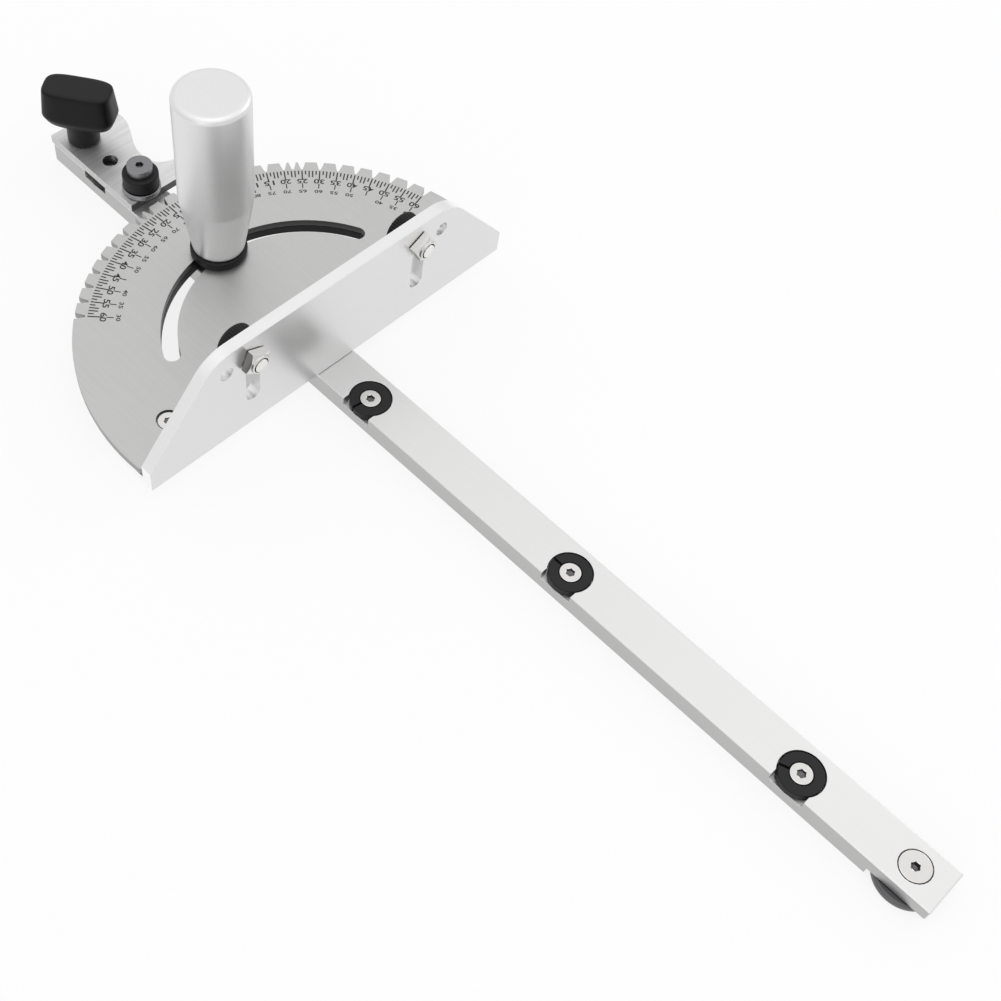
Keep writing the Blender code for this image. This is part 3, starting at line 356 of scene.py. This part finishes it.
def soften(points, radius, closed=False):
    """Swap each corner P for a quadratic curve from S to E: (1-t)(1-t) S + 2t(1-t) P + tt E.

    S and E lie a radius from the corner, or EDGE_SHARE of the edge if that is less. A support point
    lies beyond each, by SUPPORT_SHARE of its distance from the corner."""
    points = np.asarray(points, float)
    size = np.broadcast_to(np.asarray(radius, float), len(points))[:, None]
    to_before = np.roll(points, 1, 0) - points
    to_after = np.roll(points, -1, 0) - points
    length_before = np.linalg.norm(to_before, axis=1, keepdims=True)
    length_after = np.linalg.norm(to_after, axis=1, keepdims=True)
    start = points + to_before / length_before * np.minimum(size, EDGE_SHARE * length_before)
    end = points + to_after / length_after * np.minimum(size, EDGE_SHARE * length_after)
    t = np.linspace(0, 1, CURVE_STEPS + 1)[None, :, None]
    curve = (1 - t) ** 2 * start[:, None] + 2 * t * (1 - t) * points[:, None] + t ** 2 * end[:, None]
    lead = start + (start - points) * SUPPORT_SHARE
    trail = end + (end - points) * SUPPORT_SHARE
    rounded = np.concatenate([lead[:, None], curve, trail[:, None]], 1)
    if closed:
        return rounded.reshape(-1, points.shape[1])
    inner = rounded[1:-1].reshape(-1, points.shape[1])
    return np.concatenate([points[:1], inner, points[-1:]])


def grid_faces(rows, columns, wrap_columns=True, wrap_rows=False):
    """Quads between neighbouring rows and columns of a grid."""
    r = np.arange(rows if wrap_rows else rows - 1)
    c = np.arange(columns if wrap_columns else columns - 1)
    r, c = np.meshgrid(r, c, indexing="ij")
    r1 = (r + 1) % rows
    c1 = (c + 1) % columns
    quads = np.stack([r * columns + c, r * columns + c1, r1 * columns + c1, r1 * columns + c], -1)
    return quads.reshape(-1, 4)


def make_piece(name, vertices, faces, material, body, replaces=(), sharp=35, extra_faces=()):
    """Put arrays into a mesh, close its poles, turn its faces outwards and hang it on a body."""
    mesh = bpy.data.meshes.new(name)
    mesh.from_pydata(vertices.reshape(-1, 3).tolist(), [], faces.tolist() + list(extra_faces))
    shape = bmesh.new()
    shape.from_mesh(mesh)
    bmesh.ops.remove_doubles(shape, verts=shape.verts, dist=1e-7)
    bmesh.ops.dissolve_degenerate(shape, edges=shape.edges, dist=1e-8)
    bmesh.ops.recalc_face_normals(shape, faces=shape.faces)
    shape.to_mesh(mesh)
    shape.free()
    return finish_piece(name, mesh, material, body, replaces, sharp)


def finish_piece(name, mesh, material, body, replaces=(), sharp=35):
    """Shade a mesh, give it its finish and hang it on a body in place of CAD nodes."""
    mesh.shade_smooth()
    mesh.set_sharp_from_angle(angle=math.radians(sharp))
    mesh.materials.clear()
    mesh.materials.append(material)
    piece = bpy.data.objects.new(name, mesh)
    bpy.context.scene.collection.objects.link(piece)
    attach(piece, body)
    if replaces:
        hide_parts(*replaces)
    return piece


def angles(steps):
    """Evenly spaced directions round a circle."""
    return np.arange(steps) * 2 * np.pi / steps


def stand(radius, height, theta, centre):
    """Points at radius and height, arrays of rows by columns, round an upright axis."""
    x = centre[0] + radius * np.cos(theta)
    y = centre[1] + radius * np.sin(theta)
    z = np.broadcast_to(height, x.shape)
    return np.stack([x, y, z], -1)


def lathe(profile, centre, steps, closed=False):
    """A profile of (radius, height) rows carried round an upright axis; a closed one makes a ring."""
    theta = angles(steps)[None, :]
    points = stand(profile[:, 0:1] + 0 * theta, profile[:, 1:2], theta, centre)
    return points, grid_faces(len(profile), steps, wrap_rows=closed)


def polygon_radius(theta, sides, flats, turn=0.0):
    """Distance from the middle to a regular polygon's side in a direction: half the flats over a cosine."""
    half = np.pi / sides
    return flats / 2 / np.cos((theta - turn + half) % (2 * half) - half)


def middle(node_name):
    """A node's middle in plan, its largest radius, and its lowest and highest level."""
    low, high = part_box(node_name)
    return ((low.x + high.x) / 2, (low.y + high.y) / 2), (high.x - low.x) / 2, low.z, high.z


print("a softened square has", len(soften([[0, 0], [1, 0], [1, 1], [0, 1]], 0.1, closed=True)), "points")

# %% [markdown]
# ## The handle
# The handle is turned from bar stock: a straight grip, a cone down to a foot, and a flat top with a
# rounded edge. It could be sculpted, but a lathe made it, so a profile round an axis is the truest way.

# %% Handle, its washer and other rings
HANDLE_BORE = 3.3 * MM
BORE_DEPTH = 3 * MM
FOOT_RADIUS = 10.5 * MM
CONE_HEIGHT = 26.5 * MM
RIM_RADIUS = 2.5 * MM
STUD_BORE = 3.2 * MM
INNER_EDGE = 0.15 * MM


def handle_rows():
    """Half section: bore, foot, straight cone, a softened kink, the grip, a rounded rim and a flat top."""
    centre, radius, low, high = middle("handle")
    corners = [[HANDLE_BORE, low], [FOOT_RADIUS - 0.5 * MM, low], [FOOT_RADIUS, low + 0.8 * MM],
               [radius, low + CONE_HEIGHT], [radius, high - RIM_RADIUS]]
    side = soften(corners, np.array([0, 0.3, 0.3, 1.2, 0]) * MM)
    turn = np.linspace(0, np.pi / 2, 12)[1:]
    rim = np.stack([radius - RIM_RADIUS + RIM_RADIUS * np.cos(turn),
                    high - RIM_RADIUS + RIM_RADIUS * np.sin(turn)], 1)
    base = np.array([[0, low + BORE_DEPTH], [HANDLE_BORE, low + BORE_DEPTH]])
    top = np.array([[radius - RIM_RADIUS - 0.3 * MM, high], [3 * MM, high], [0, high]])
    return np.concatenate([base, side, rim, top]), centre


rows, handle_centre = handle_rows()
vertices, faces = lathe(rows, handle_centre, 192)
make_piece("handle_grip", vertices, faces, HANDLE_METAL, "handle", ["handle"], 50)


def turned_ring(name, node_name, bore, edge, material, body):
    """A ring in place of a node: its section's corners softened, carried round its axis."""
    centre, radius, low, high = middle(node_name)
    section = [[bore, low], [radius, low], [radius, high], [bore, high]]
    profile = soften(section, [INNER_EDGE, edge, edge, INNER_EDGE], closed=True)
    points, quads = lathe(profile, centre, 128, closed=True)
    make_piece(name, points, quads, material, body, [node_name])


turned_ring("handle_washer_ring", "handle_washer", STUD_BORE, 0.6 * MM, NYLON_BLACK, "handle")
turned_ring("guide_boss_ring", "guide_boss", STUD_BORE, 0.4 * MM, WASHER_METAL, "bar")
turned_ring("guide_sleeve_ring", "guide_sleeve", STUD_BORE, 0.9 * MM, NYLON_BLACK, "bar")
turned_ring("t_slot_washer_ring", "t_slot_washer", 2.8 * MM, 0.9 * MM, DARK_METAL, "bar")
print("handle rows: %d, rings: 4" % len(rows))

# %% [markdown]
# ## Socket screws
# Each screw has a head with a six-sided hole for a key. The head is round and the hole is not, so the
# radius of a row is a circle's plus a share of a hexagon's: a share of 0 gives the head, and 1 gives
# the socket's wall. A second material darkens the socket, which light hardly enters.

# %% Screws with key sockets
SCREW_STEPS = 96
MOUTH_SHARE = 0.58
DARK_SHARE = 0.6
CHAMFER = 0.12 * MM
DRILL_POINT = 0.5 * MM
MARGIN = 0.02 * MM
FLAT_UNDER = 0.05


def darken_socket(piece, centre, reach, top, bottom):
    """Give the second material to the faces between two levels and within a reach of the axis."""
    piece.data.materials.append(SOCKET_DARK)
    middles = np.empty(len(piece.data.polygons) * 3)
    piece.data.polygons.foreach_get("center", middles)
    x, y, z = middles.reshape(-1, 3).T
    inside = (z < top) & (z > bottom) & (np.hypot(x - centre[0], y - centre[1]) < reach)
    piece.data.polygons.foreach_set("material_index", inside.astype(np.int32))


def socket_screw(node_name, body, metal, key, shank, head, cone, socket):
    """Rows of (circle, hexagon share, height) from the shank's foot over the head to the dark socket.

    In mm: the key's flats, the shank's radius, and the height of the head, the cone and the socket."""
    centre, radius, low, high = middle(node_name)
    key, shank, socket = key * MM, shank * MM, socket * MM
    under = high - head * MM
    foot = under - cone * MM
    rows = np.array([
        [0, 0, low], [shank, 0, low], [shank, 0, foot], [radius, 0, under], [radius, 0, high],
        [key * MOUTH_SHARE, 0, high], [0, 1, high - CHAMFER], [0, 1, high - socket],
        [0, 0, high - socket - DRILL_POINT],
    ])
    rows = soften(rows, np.array([0, 0.3, 0.2, 0.15, 0.25, 0.08, 0.05, 0.08, 0]) * MM)
    theta = angles(SCREW_STEPS)[None, :]
    reach = rows[:, 0:1] + rows[:, 1:2] * polygon_radius(theta, 6, key)
    points = stand(reach, rows[:, 2:3], theta, centre)
    faces = grid_faces(len(rows), SCREW_STEPS)
    piece = make_piece(node_name + "_socket", points, faces, metal, body, [node_name])
    darken_socket(piece, centre, key * DARK_SHARE, high - CHAMFER - MARGIN,
                  high - socket - DRILL_POINT - MARGIN)


for number in range(1, 5):
    name = "side_screw_%d" % number
    socket_screw(name, name, SCREW_METAL, key=3, shank=2, head=0.4, cone=1.9, socket=1.6)
socket_screw("t_washer_screw", "bar", SCREW_METAL,
             key=3, shank=2.5, head=0.4, cone=3, socket=2.4)
for side in ("left", "right"):
    socket_screw("bracket_screw_" + side, "head", SCREW_METAL,
                 key=3, shank=2, head=1.1, cone=FLAT_UNDER, socket=0.66)
socket_screw("guide_screw", "bar", WASHER_METAL,
             key=3, shank=2.9, head=3.6, cone=FLAT_UNDER, socket=2.2)
socket_screw("pivot_screw", "bar", SCREW_METAL,
             key=5, shank=3, head=4, cone=FLAT_UNDER, socket=2.4)
socket_screw("tooth_screw", "index", SCREW_METAL,
             key=1.5, shank=1.1, head=1.4, cone=FLAT_UNDER, socket=0.9)
print("screws: 10")

# %% [markdown]
# ## Split discs
# The side discs are split, so that a tapered screw head can spread them against the slot. A disc is a
# section carried almost all the way round. The split has parallel sides, so it takes a larger angle
# nearer the middle: to each side, the arc sine of half its width over the radius.

# %% Side discs
SPLIT = 1 * MM
SPLIT_DIRECTIONS = (170, 90, 111, 150)
DISC_COLUMNS = 97
SEAT_RADIUS = 4.3 * MM
HOLE_RADIUS = 2.4 * MM
SEAT_DEPTH = 0.4 * MM


def split_disc(number):
    """A countersunk section carried between the split's two sides, with both ends closed."""
    node_name = "side_disc_%d" % number
    low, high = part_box(node_name)
    radius = (high.y - low.y) / 2
    centre = ((low.x + high.x) / 2, (low.y + high.y) / 2)
    seat = high.z - SEAT_DEPTH
    section = [[HOLE_RADIUS, low.z], [radius, low.z], [radius, high.z], [SEAT_RADIUS, high.z],
               [SEAT_RADIUS, seat], [HOLE_RADIUS, seat - (SEAT_RADIUS - HOLE_RADIUS)]]
    profile = soften(section, np.array([0.1, 0.2, 0.55, 0.15, 0.05, 0.05]) * MM, closed=True)
    half = np.arcsin(SPLIT / 2 / profile[:, 0:1])
    share = np.linspace(0, 1, DISC_COLUMNS)[None, :]
    theta = math.radians(SPLIT_DIRECTIONS[number - 1]) + half + (2 * np.pi - 2 * half) * share
    points = stand(profile[:, 0:1] + 0 * theta, profile[:, 1:2], theta, centre)
    starts = range(0, len(profile) * DISC_COLUMNS, DISC_COLUMNS)
    ends = [tuple(starts), tuple(start + DISC_COLUMNS - 1 for start in starts)]
    faces = grid_faces(len(profile), DISC_COLUMNS, wrap_columns=False, wrap_rows=True)
    make_piece(node_name + "_split", points, faces, NYLON_BLACK, "bar", [node_name],
               extra_faces=ends)


for number in range(1, 5):
    split_disc(number)
print("discs: 4")

# %% [markdown]
# ## The index knob
# The knob is a moulded wing on a round neck. Both are sections stacked up the same axis: circles for the
# neck, then rectangles with round corners. One superellipse formula gives all of them, because its
# power turns a circle into a rectangle by degrees.

# %% Index knob
KNOB_CENTRE = (0.0, (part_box("knob_stud")[0].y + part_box("knob_stud")[1].y) / 2)
KNOB_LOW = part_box("index_knob")[0].z
KNOB_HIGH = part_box("index_knob")[1].z
KNOB_TURN = math.radians(-54)
KNOB_STEPS = 160
WING_LENGTH = 31 * MM
WING_THICKNESS = 17 * MM
WING_HEIGHT = 17 * MM


def knob_rows():
    """Rows of (half length, half width, power, height, rise): bore, neck, underside, bulge, draft, top."""
    low, top = KNOB_LOW / MM, KNOB_HIGH / MM
    wing = top - WING_HEIGHT / MM
    a, b = WING_LENGTH / MM / 2, WING_THICKNESS / MM / 2
    rows = np.array([
        [0, 0, 2, low + 1, 0], [3.2, 3.2, 2, low + 1, 0], [3.2, 3.2, 2, low, 0], [6.3, 6.3, 2, low, 0],
        [6.7, 6.7, 2, low + 0.4, 0], [6.8, 6.8, 2, low + 1.2, 0], [6.6, 6.6, 2, wing - 0.8, 0],
        [6.8, 6.7, 2, wing - 0.2, 0], [a - 2.4, b - 1.75, 3.6, wing, 0.9],
        [a - 1.7, b - 1.5, 3.8, wing + 0.25, 1], [a - 1.3, b - 1.2, 3.8, wing + 0.8, 1],
        [a - 0.15, b - 0.15, 3.8, wing + 3.2, 1], [a, b, 3.8, wing + 3.9, 0.9],
        [a - 0.1, b - 0.1, 3.8, wing + 5, 0.7], [a - 1.0, b - 1.0, 3.8, top - 2, 0],
        [a - 1.1, b - 1.1, 3.8, top - 1.2, 0], [a - 1.25, b - 1.25, 3.8, top - 0.6, 0],
        [a - 1.6, b - 1.6, 3.8, top - 0.2, 0], [a - 2.2, b - 2.2, 3.7, top, 0],
        [a - 3.4, b - 3.2, 3.6, top, 0], [3, 1.5, 3, top, 0], [0, 0, 2, top, 0],
    ])
    return rows * np.array([MM, MM, 1, MM, MM])


def superellipse(rows, theta):
    """x = a |cos|^(2/p) with the cosine's sign, y = b |sin|^(2/p) with the sine's sign."""
    a, b, power = rows[:, 0:1], rows[:, 1:2], rows[:, 2:3]
    x = a * np.sign(np.cos(theta)) * np.abs(np.cos(theta)) ** (2 / power)
    y = b * np.sign(np.sin(theta)) * np.abs(np.sin(theta)) ** (2 / power)
    return x, y


def index_knob():
    """Stack the sections, lift the wing's underside towards its ends by a square law, and turn the wing."""
    rows = knob_rows()
    theta = angles(KNOB_STEPS)[None, :]
    x, y = superellipse(rows, theta)
    lift = rows[:, 4:5] * (x / (WING_LENGTH / 2)) ** 2
    z = rows[:, 3:4] + lift
    across = x * math.cos(KNOB_TURN) - y * math.sin(KNOB_TURN) + KNOB_CENTRE[0]
    along = x * math.sin(KNOB_TURN) + y * math.cos(KNOB_TURN) + KNOB_CENTRE[1]
    points = np.stack([across, along, z], -1)
    make_piece("index_knob_wing", points, grid_faces(len(rows), KNOB_STEPS), KNOB_BLACK, "index_knob",
               ["index_knob"], 60)


index_knob()
print("knob from %.1f to %.1f mm high" % (KNOB_LOW / MM, KNOB_HIGH / MM))

# %% [markdown]
# ## Hardware on the fence
# The picture shows square nuts, turned to different angles. A polygon's corner lies farther out than
# its flats, and a turned chamfer makes each point of its face drop by a share of that excess. On the
# face stands a low round collar. The bolt's end has a thread, which is a radius that rises and falls
# with the depth over the pitch, less the angle's share of a turn. The black knob behind has fine ribs.

# %% Nuts, bolts and fence knobs
NUT_FLATS = 8.6 * MM
NUT_THICKNESS = 3.6 * MM
NUT_TURNS = {"left": -24, "right": 27}
NUT_STEPS = 160
NUT_BORE = 3.05 * MM
BOLT_PROUD = 1.3 * MM
BOLT_RADIUS = 2.75 * MM
BOLT_STEPS = 64
THREAD_PITCH = 1 * MM
THREAD_DEPTH = 0.3 * MM
THREAD_RUN_IN = 1.6 * MM
RIBS = 40
RIB_DEPTH = 0.32 * MM
DRAWN_RADIUS = 7.6 * MM


def lie(radius, depth, theta, axis):
    """Points round an axis along Y: depth grows backwards from the fence's face."""
    x = axis[0] + radius * np.cos(theta)
    z = axis[1] + radius * np.sin(theta)
    y = np.broadcast_to(depth, x.shape)
    return np.stack([x, y, z], -1)


def fence_nut(side, axis, turn):
    """Rows from the bore over the collar, the chamfered face and the flats to the back and the bore."""
    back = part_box("hex_nut_" + side)[1].y
    front = back - NUT_THICKNESS
    theta = angles(NUT_STEPS)[None, :]
    even = 0 * theta
    flat = NUT_FLATS / 2
    corner = polygon_radius(theta, 4, NUT_FLATS, turn)
    drop = (corner - flat) * 0.55
    collar = np.array([[3.05, -0.5], [3.2, -0.9], [3.75, -0.9], [3.95, -0.7], [3.95, -0.05], [4.1, 0]]) * MM
    rows = [(NUT_BORE + even, back + even)]
    rows += [(radius + even, front + depth + even) for radius, depth in collar]
    rows += [
        (flat - 0.05 * MM + even, front + even),
        (corner - 0.08 * MM, front + drop),
        (corner, front + drop + 0.08 * MM),
        (corner, back - 0.1 * MM + even),
        (corner - 0.1 * MM, back + even),
        (NUT_BORE + even, back + even),
    ]
    radius, depth = (np.concatenate(part) for part in zip(*rows))
    make_piece("fence_nut_%s_square" % side, lie(radius, depth, theta, axis),
               grid_faces(len(radius), NUT_STEPS), NUT_METAL, side + "_nut",
               ["hex_nut_" + side], 22)


def fence_bolt(side, axis):
    """A slightly dished end with a chamfer, then a thread: the radius less a wave of depth over pitch."""
    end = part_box("fence_bolt_" + side)[1].y
    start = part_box("hex_nut_" + side)[1].y - NUT_THICKNESS - BOLT_PROUD
    theta = angles(BOLT_STEPS)[None, :]
    height = np.linspace(start + 0.5 * MM, end, 170)[:, None]
    phase = (height / THREAD_PITCH - theta / (2 * np.pi)) % 1.0
    wave = 1 - np.abs(2 * phase - 1)
    fade = np.clip((height - start) / THREAD_RUN_IN, 0, 1)
    thread = BOLT_RADIUS - THREAD_DEPTH * wave * fade
    caps = np.array([[0.0], [2.1], [2.2], [2.6], [2.75]]) * MM + 0 * theta
    dish = np.array([[0.12], [0.12], [0.0], [0.0], [0.2]]) * MM + start + 0 * theta
    back = np.array([[2.4 * MM], [0.0]]) + 0 * theta
    radius = np.concatenate([caps, thread, back], 0)
    depth = np.concatenate([dish, height + 0 * theta, end + 0 * back], 0)
    make_piece("fence_bolt_%s_thread" % side, lie(radius, depth, theta, axis),
               grid_faces(len(radius), BOLT_STEPS), SCREW_METAL, side + "_fence_knob",
               ["fence_bolt_" + side], 40)


def fence_knob(side, axis):
    """Rows of (radius, depth, rib share): the radius less a raised cosine of the rib count."""
    low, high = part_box("fence_knob_" + side)
    steps = RIBS * 6
    theta = angles(steps)[None, :]
    comb = 0.5 - 0.5 * np.cos(RIBS * theta)
    rows = np.array([
        [0, 1.0, 0], [3.2, 1.0, 0], [3.2, 0.0, 0], [6.6, 0.0, 0], [7.25, 0.25, 0.2], [7.6, 0.7, 1],
        [7.6, 4.9, 1], [7.3, 5.5, 0.7], [6.7, 5.9, 0.1], [5.9, 6.0, 0], [2.0, 6.0, 0], [0, 6.0, 0],
    ]) * np.array([MM, MM, 1])
    rows[:, 0] *= (high.z - low.z) / 2 / DRAWN_RADIUS
    radius = rows[:, 0:1] - RIB_DEPTH * rows[:, 2:3] * comb
    make_piece("fence_knob_%s_ribbed" % side, lie(radius, low.y + rows[:, 1:2], theta, axis),
               grid_faces(len(rows), steps), KNOB_BLACK, side + "_fence_knob",
               ["fence_knob_" + side], 40)


for side in ("left", "right"):
    low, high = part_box("fence_bolt_" + side)
    axis = ((low.x + high.x) / 2, (low.z + high.z) / 2)
    fence_nut(side, axis, math.radians(NUT_TURNS[side]))
    fence_bolt(side, axis)
    fence_knob(side, axis)
print("fence hardware: 2 of each")

# %% [markdown]
# ## Broken edges on the plates
# The bar, the fence and the plates are already right in the frame, but their edges are knife sharp and
# show no line of light. A copy of each gets its loose triangles merged and its flats made whole, and
# a Bevel modifier breaks every edge sharper than a limit.

# %% Edge-broken plates
def broken_edges(node_name, body, material, width, limit=28):
    """Merge a copy of a node, dissolve its flat seams and bevel what stays sharp."""
    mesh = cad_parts[node_name].data.copy()
    shape = bmesh.new()
    shape.from_mesh(mesh)
    bmesh.ops.remove_doubles(shape, verts=shape.verts, dist=2e-6)
    bmesh.ops.dissolve_limit(shape, angle_limit=math.radians(0.5), verts=shape.verts, edges=shape.edges)
    shape.to_mesh(mesh)
    shape.free()
    piece = finish_piece(node_name + "_finished", mesh, material, body, [node_name], 20)
    bevel = piece.modifiers.new("edge", "BEVEL")
    bevel.width = width
    bevel.segments = 2
    bevel.limit_method = "ANGLE"
    bevel.angle_limit = math.radians(limit)
    bevel.harden_normals = True


broken_edges("miter_bar", "bar", BAR_METAL, 0.15 * MM)
broken_edges("fence_bracket", "head", FENCE_METAL, 0.35 * MM)
broken_edges("protractor_plate", "head", PLATE_METAL, 0.15 * MM)
broken_edges("index_plate", "index", INDEX_METAL, 0.2 * MM)
broken_edges("index_tooth", "index", INDEX_METAL, 0.1 * MM)
for name, metal in (("handle_stud", SCREW_METAL), ("slot_spacer", NYLON_BLACK), ("pivot_bush", WASHER_METAL),
                    ("knob_stud", SCREW_METAL)):
    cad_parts[name].data.materials.clear()
    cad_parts[name].data.materials.append(metal)
print("plates with broken edges: 5")

# %% [markdown]
# ## The scale
# The degrees are etched in black: a short line for the first and fourth degree after a five, a longer
# one for the second and third, and the longest for the fives. Each five carries its angle and, nearer
# the pivot, the angle that makes 90 with it, except at 45, with a short line between the two. Lines
# are thin bars whose corners come from one array, and the numbers are text turned into a mesh.

# %% Scale lines
SCALE_TURN = 15
SCALE_LIMIT = 60
MARK_RISE = 0.02 * MM
TICK_OUTER = PLATE_RADIUS - 5 * MM
TICK_WIDTH = 0.55 * MM
TICK_LENGTHS = np.array([5.4, 2.2, 3.7, 3.7, 2.2]) * MM
LINK_OUTER, LINK_INNER = 78.0 * MM, 75.2 * MM
LINK_WIDTH = 0.45 * MM


def bars(direction, outer, length, width, level, thickness):
    """Closed bars along radii: eight corners each, from direction, outer radius, length and width arrays."""
    outward = np.stack([np.sin(direction), np.cos(direction)], -1)
    aside = np.stack([np.cos(direction), -np.sin(direction)], -1)
    radial = np.stack([outer - length, outer - length, outer, outer], -1)
    across = np.array([-0.5, 0.5, 0.5, -0.5])[None, :] * np.asarray(width)[:, None]
    flat = outward[:, None] * radial[..., None] + aside[:, None] * across[..., None]
    corners = np.repeat(flat, 2, 0).reshape(len(direction), 2, 4, 2)
    levels = np.array([level, level + thickness])[None, :, None, None]
    heights = np.broadcast_to(levels, corners.shape[:3] + (1,))
    return np.concatenate([corners, heights], -1).reshape(-1, 3)


BOX_FACES = np.array([[0, 3, 2, 1], [4, 5, 6, 7], [0, 1, 5, 4], [1, 2, 6, 5], [2, 3, 7, 6], [3, 0, 4, 7]])
degrees = np.arange(-SCALE_LIMIT, SCALE_LIMIT + 1)
direction = np.radians(degrees + SCALE_TURN)
length = TICK_LENGTHS[degrees % 5]
fives = np.radians(degrees[degrees % 5 == 0] + SCALE_TURN)
count = len(degrees) + len(fives)
tick_points = bars(
    np.concatenate([direction, fives]),
    np.concatenate([np.full(len(degrees), TICK_OUTER), np.full(len(fives), LINK_OUTER)]),
    np.concatenate([length, np.full(len(fives), LINK_OUTER - LINK_INNER)]),
    np.concatenate([np.full(len(degrees), TICK_WIDTH), np.full(len(fives), LINK_WIDTH)]),
    PLATE_TOP - MARK_RISE, 2 * MARK_RISE,
)
tick_faces = (BOX_FACES[None] + 8 * np.arange(count)[:, None, None]).reshape(-1, 4)
make_piece("scale_lines", tick_points, tick_faces, INK, "head", sharp=20)
print("scale lines:", count)

# %% Scale numbers
LARGE_RADIUS, LARGE_HEIGHT, LARGE_WIDTH = 79.2 * MM, 2.6 * MM, 2.2 * MM
SMALL_RADIUS, SMALL_HEIGHT, SMALL_WIDTH = 73.4 * MM, 1.75 * MM, 1.65 * MM
BOLDER = 0.018


def number_mesh(text, height, width_each):
    """Text as a thin mesh centred on the origin, stretched to a height and a width for each digit."""
    curve = bpy.data.curves.new("digits", "FONT")
    curve.body = text
    curve.extrude = 0.01
    curve.offset = BOLDER
    curve.resolution_u = 4
    holder = bpy.data.objects.new("digits", curve)
    bpy.context.scene.collection.objects.link(holder)
    graph = bpy.context.evaluated_depsgraph_get()
    mesh = bpy.data.meshes.new_from_object(holder.evaluated_get(graph))
    bpy.data.objects.remove(holder)
    bpy.data.curves.remove(curve)
    points = np.empty(len(mesh.vertices) * 3)
    mesh.vertices.foreach_get("co", points)
    points = points.reshape(-1, 3)
    low, high = points.min(0), points.max(0)
    size = np.array([width_each * len(text), height, 2 * MARK_RISE])
    points = (points - (low + high) / 2) / (high - low) * size
    mesh.vertices.foreach_set("co", points.ravel())
    return mesh


def number_place(angle, radius):
    """Turn a number so that its top points at the pivot, and move it out along its radius."""
    s, c = math.sin(angle), math.cos(angle)
    return Matrix(((-c, -s, 0, radius * s), (s, -c, 0, radius * c), (0, 0, 1, PLATE_TOP), (0, 0, 0, 1)))


numbers = bmesh.new()
for value in range(-SCALE_LIMIT, SCALE_LIMIT + 1, 5):
    turn = math.radians(value + SCALE_TURN)
    jobs = [(str(abs(value)), LARGE_RADIUS, LARGE_HEIGHT, LARGE_WIDTH)]
    if abs(value) != 45:
        jobs.append((str(90 - abs(value)), SMALL_RADIUS, SMALL_HEIGHT, SMALL_WIDTH))
    for text, radius, height, wide in jobs:
        digits = number_mesh(text, height, wide)
        digits.transform(number_place(turn, radius))
        numbers.from_mesh(digits)
        bpy.data.meshes.remove(digits)
number_data = bpy.data.meshes.new("scale_numbers")
numbers.to_mesh(number_data)
numbers.free()
finish_piece("scale_numbers", number_data, INK, "head", sharp=20)
print("number faces:", len(number_data.polygons))

# %% [markdown]
# ## Floor and light
# The photograph is a studio shot on white, with light from every side and most of it from above. A
# floor that gives off most of its white itself, a pale room and three soft lamps give the metals
# something bright to mirror and leave only a faint shadow.

# %% Floor and light
FLOOR_HALF = 6.0
LEVEL_LIGHT = 0.7
OVERHEAD_LIGHT = 0.25

floor_mesh = bpy.data.meshes.new("floor")
corners = [(x * FLOOR_HALF, y * FLOOR_HALF, 0) for x, y in ((-1, -1), (1, -1), (1, 1), (-1, 1))]
floor_mesh.from_pydata(corners, [], [(0, 1, 2, 3)])
floor = bpy.data.objects.new("floor", floor_mesh)
floor.location.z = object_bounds()[0].z
bpy.context.scene.collection.objects.link(floor)
floor_material = new_material("floor_white", (0.18, 0.18, 0.18), 0.9, 0.0, Specular_IOR_Level=0.1,
                              Emission_Color=(1, 1, 1, 1), Emission_Strength=0.81)[0]
floor_mesh.materials.append(floor_material)


def studio_room():
    """Light of the room by direction: even below the horizon and brighter overhead."""
    world = bpy.data.worlds.new("studio")
    bpy.context.scene.world = world
    world.use_nodes = True
    tree = world.node_tree
    toward = node(tree, "ShaderNodeTexCoord", output="Generated")
    height = node(tree, "ShaderNodeSeparateXYZ", None, toward, output=2)
    climb = height.math("SMOOTH_MAX", height, 0.0, 0.1)
    strength = climb * OVERHEAD_LIGHT + LEVEL_LIGHT
    tree.links.new(strength.socket, tree.nodes["Background"].inputs["Strength"])
    tree.nodes["Background"].inputs["Color"].default_value = (1, 1, 1, 1)


studio_room()
bpy.context.scene.view_settings.view_transform = "Standard"


def softbox(name, place_at, look_at, size, power):
    """A square lamp that faces a point."""
    data = bpy.data.lights.new(name, "AREA")
    data.shape = "SQUARE"
    data.size = size
    data.energy = power
    lamp = bpy.data.objects.new(name, data)
    lamp.location = place_at
    lamp.rotation_euler = (Vector(look_at) - Vector(place_at)).to_track_quat("-Z", "Y").to_euler()
    bpy.context.scene.collection.objects.link(lamp)


softbox("top_light", (-0.2, -0.2, 1.6), (0, 0, 0), size=1.2, power=1.6)
softbox("left_light", (-1.3, -0.6, 0.5), (0, 0, 0.03), size=0.5, power=1.1)
softbox("right_light", (1.1, -0.3, 0.6), (0, 0, 0.03), size=0.5, power=1.2)
print("lamps: 3")
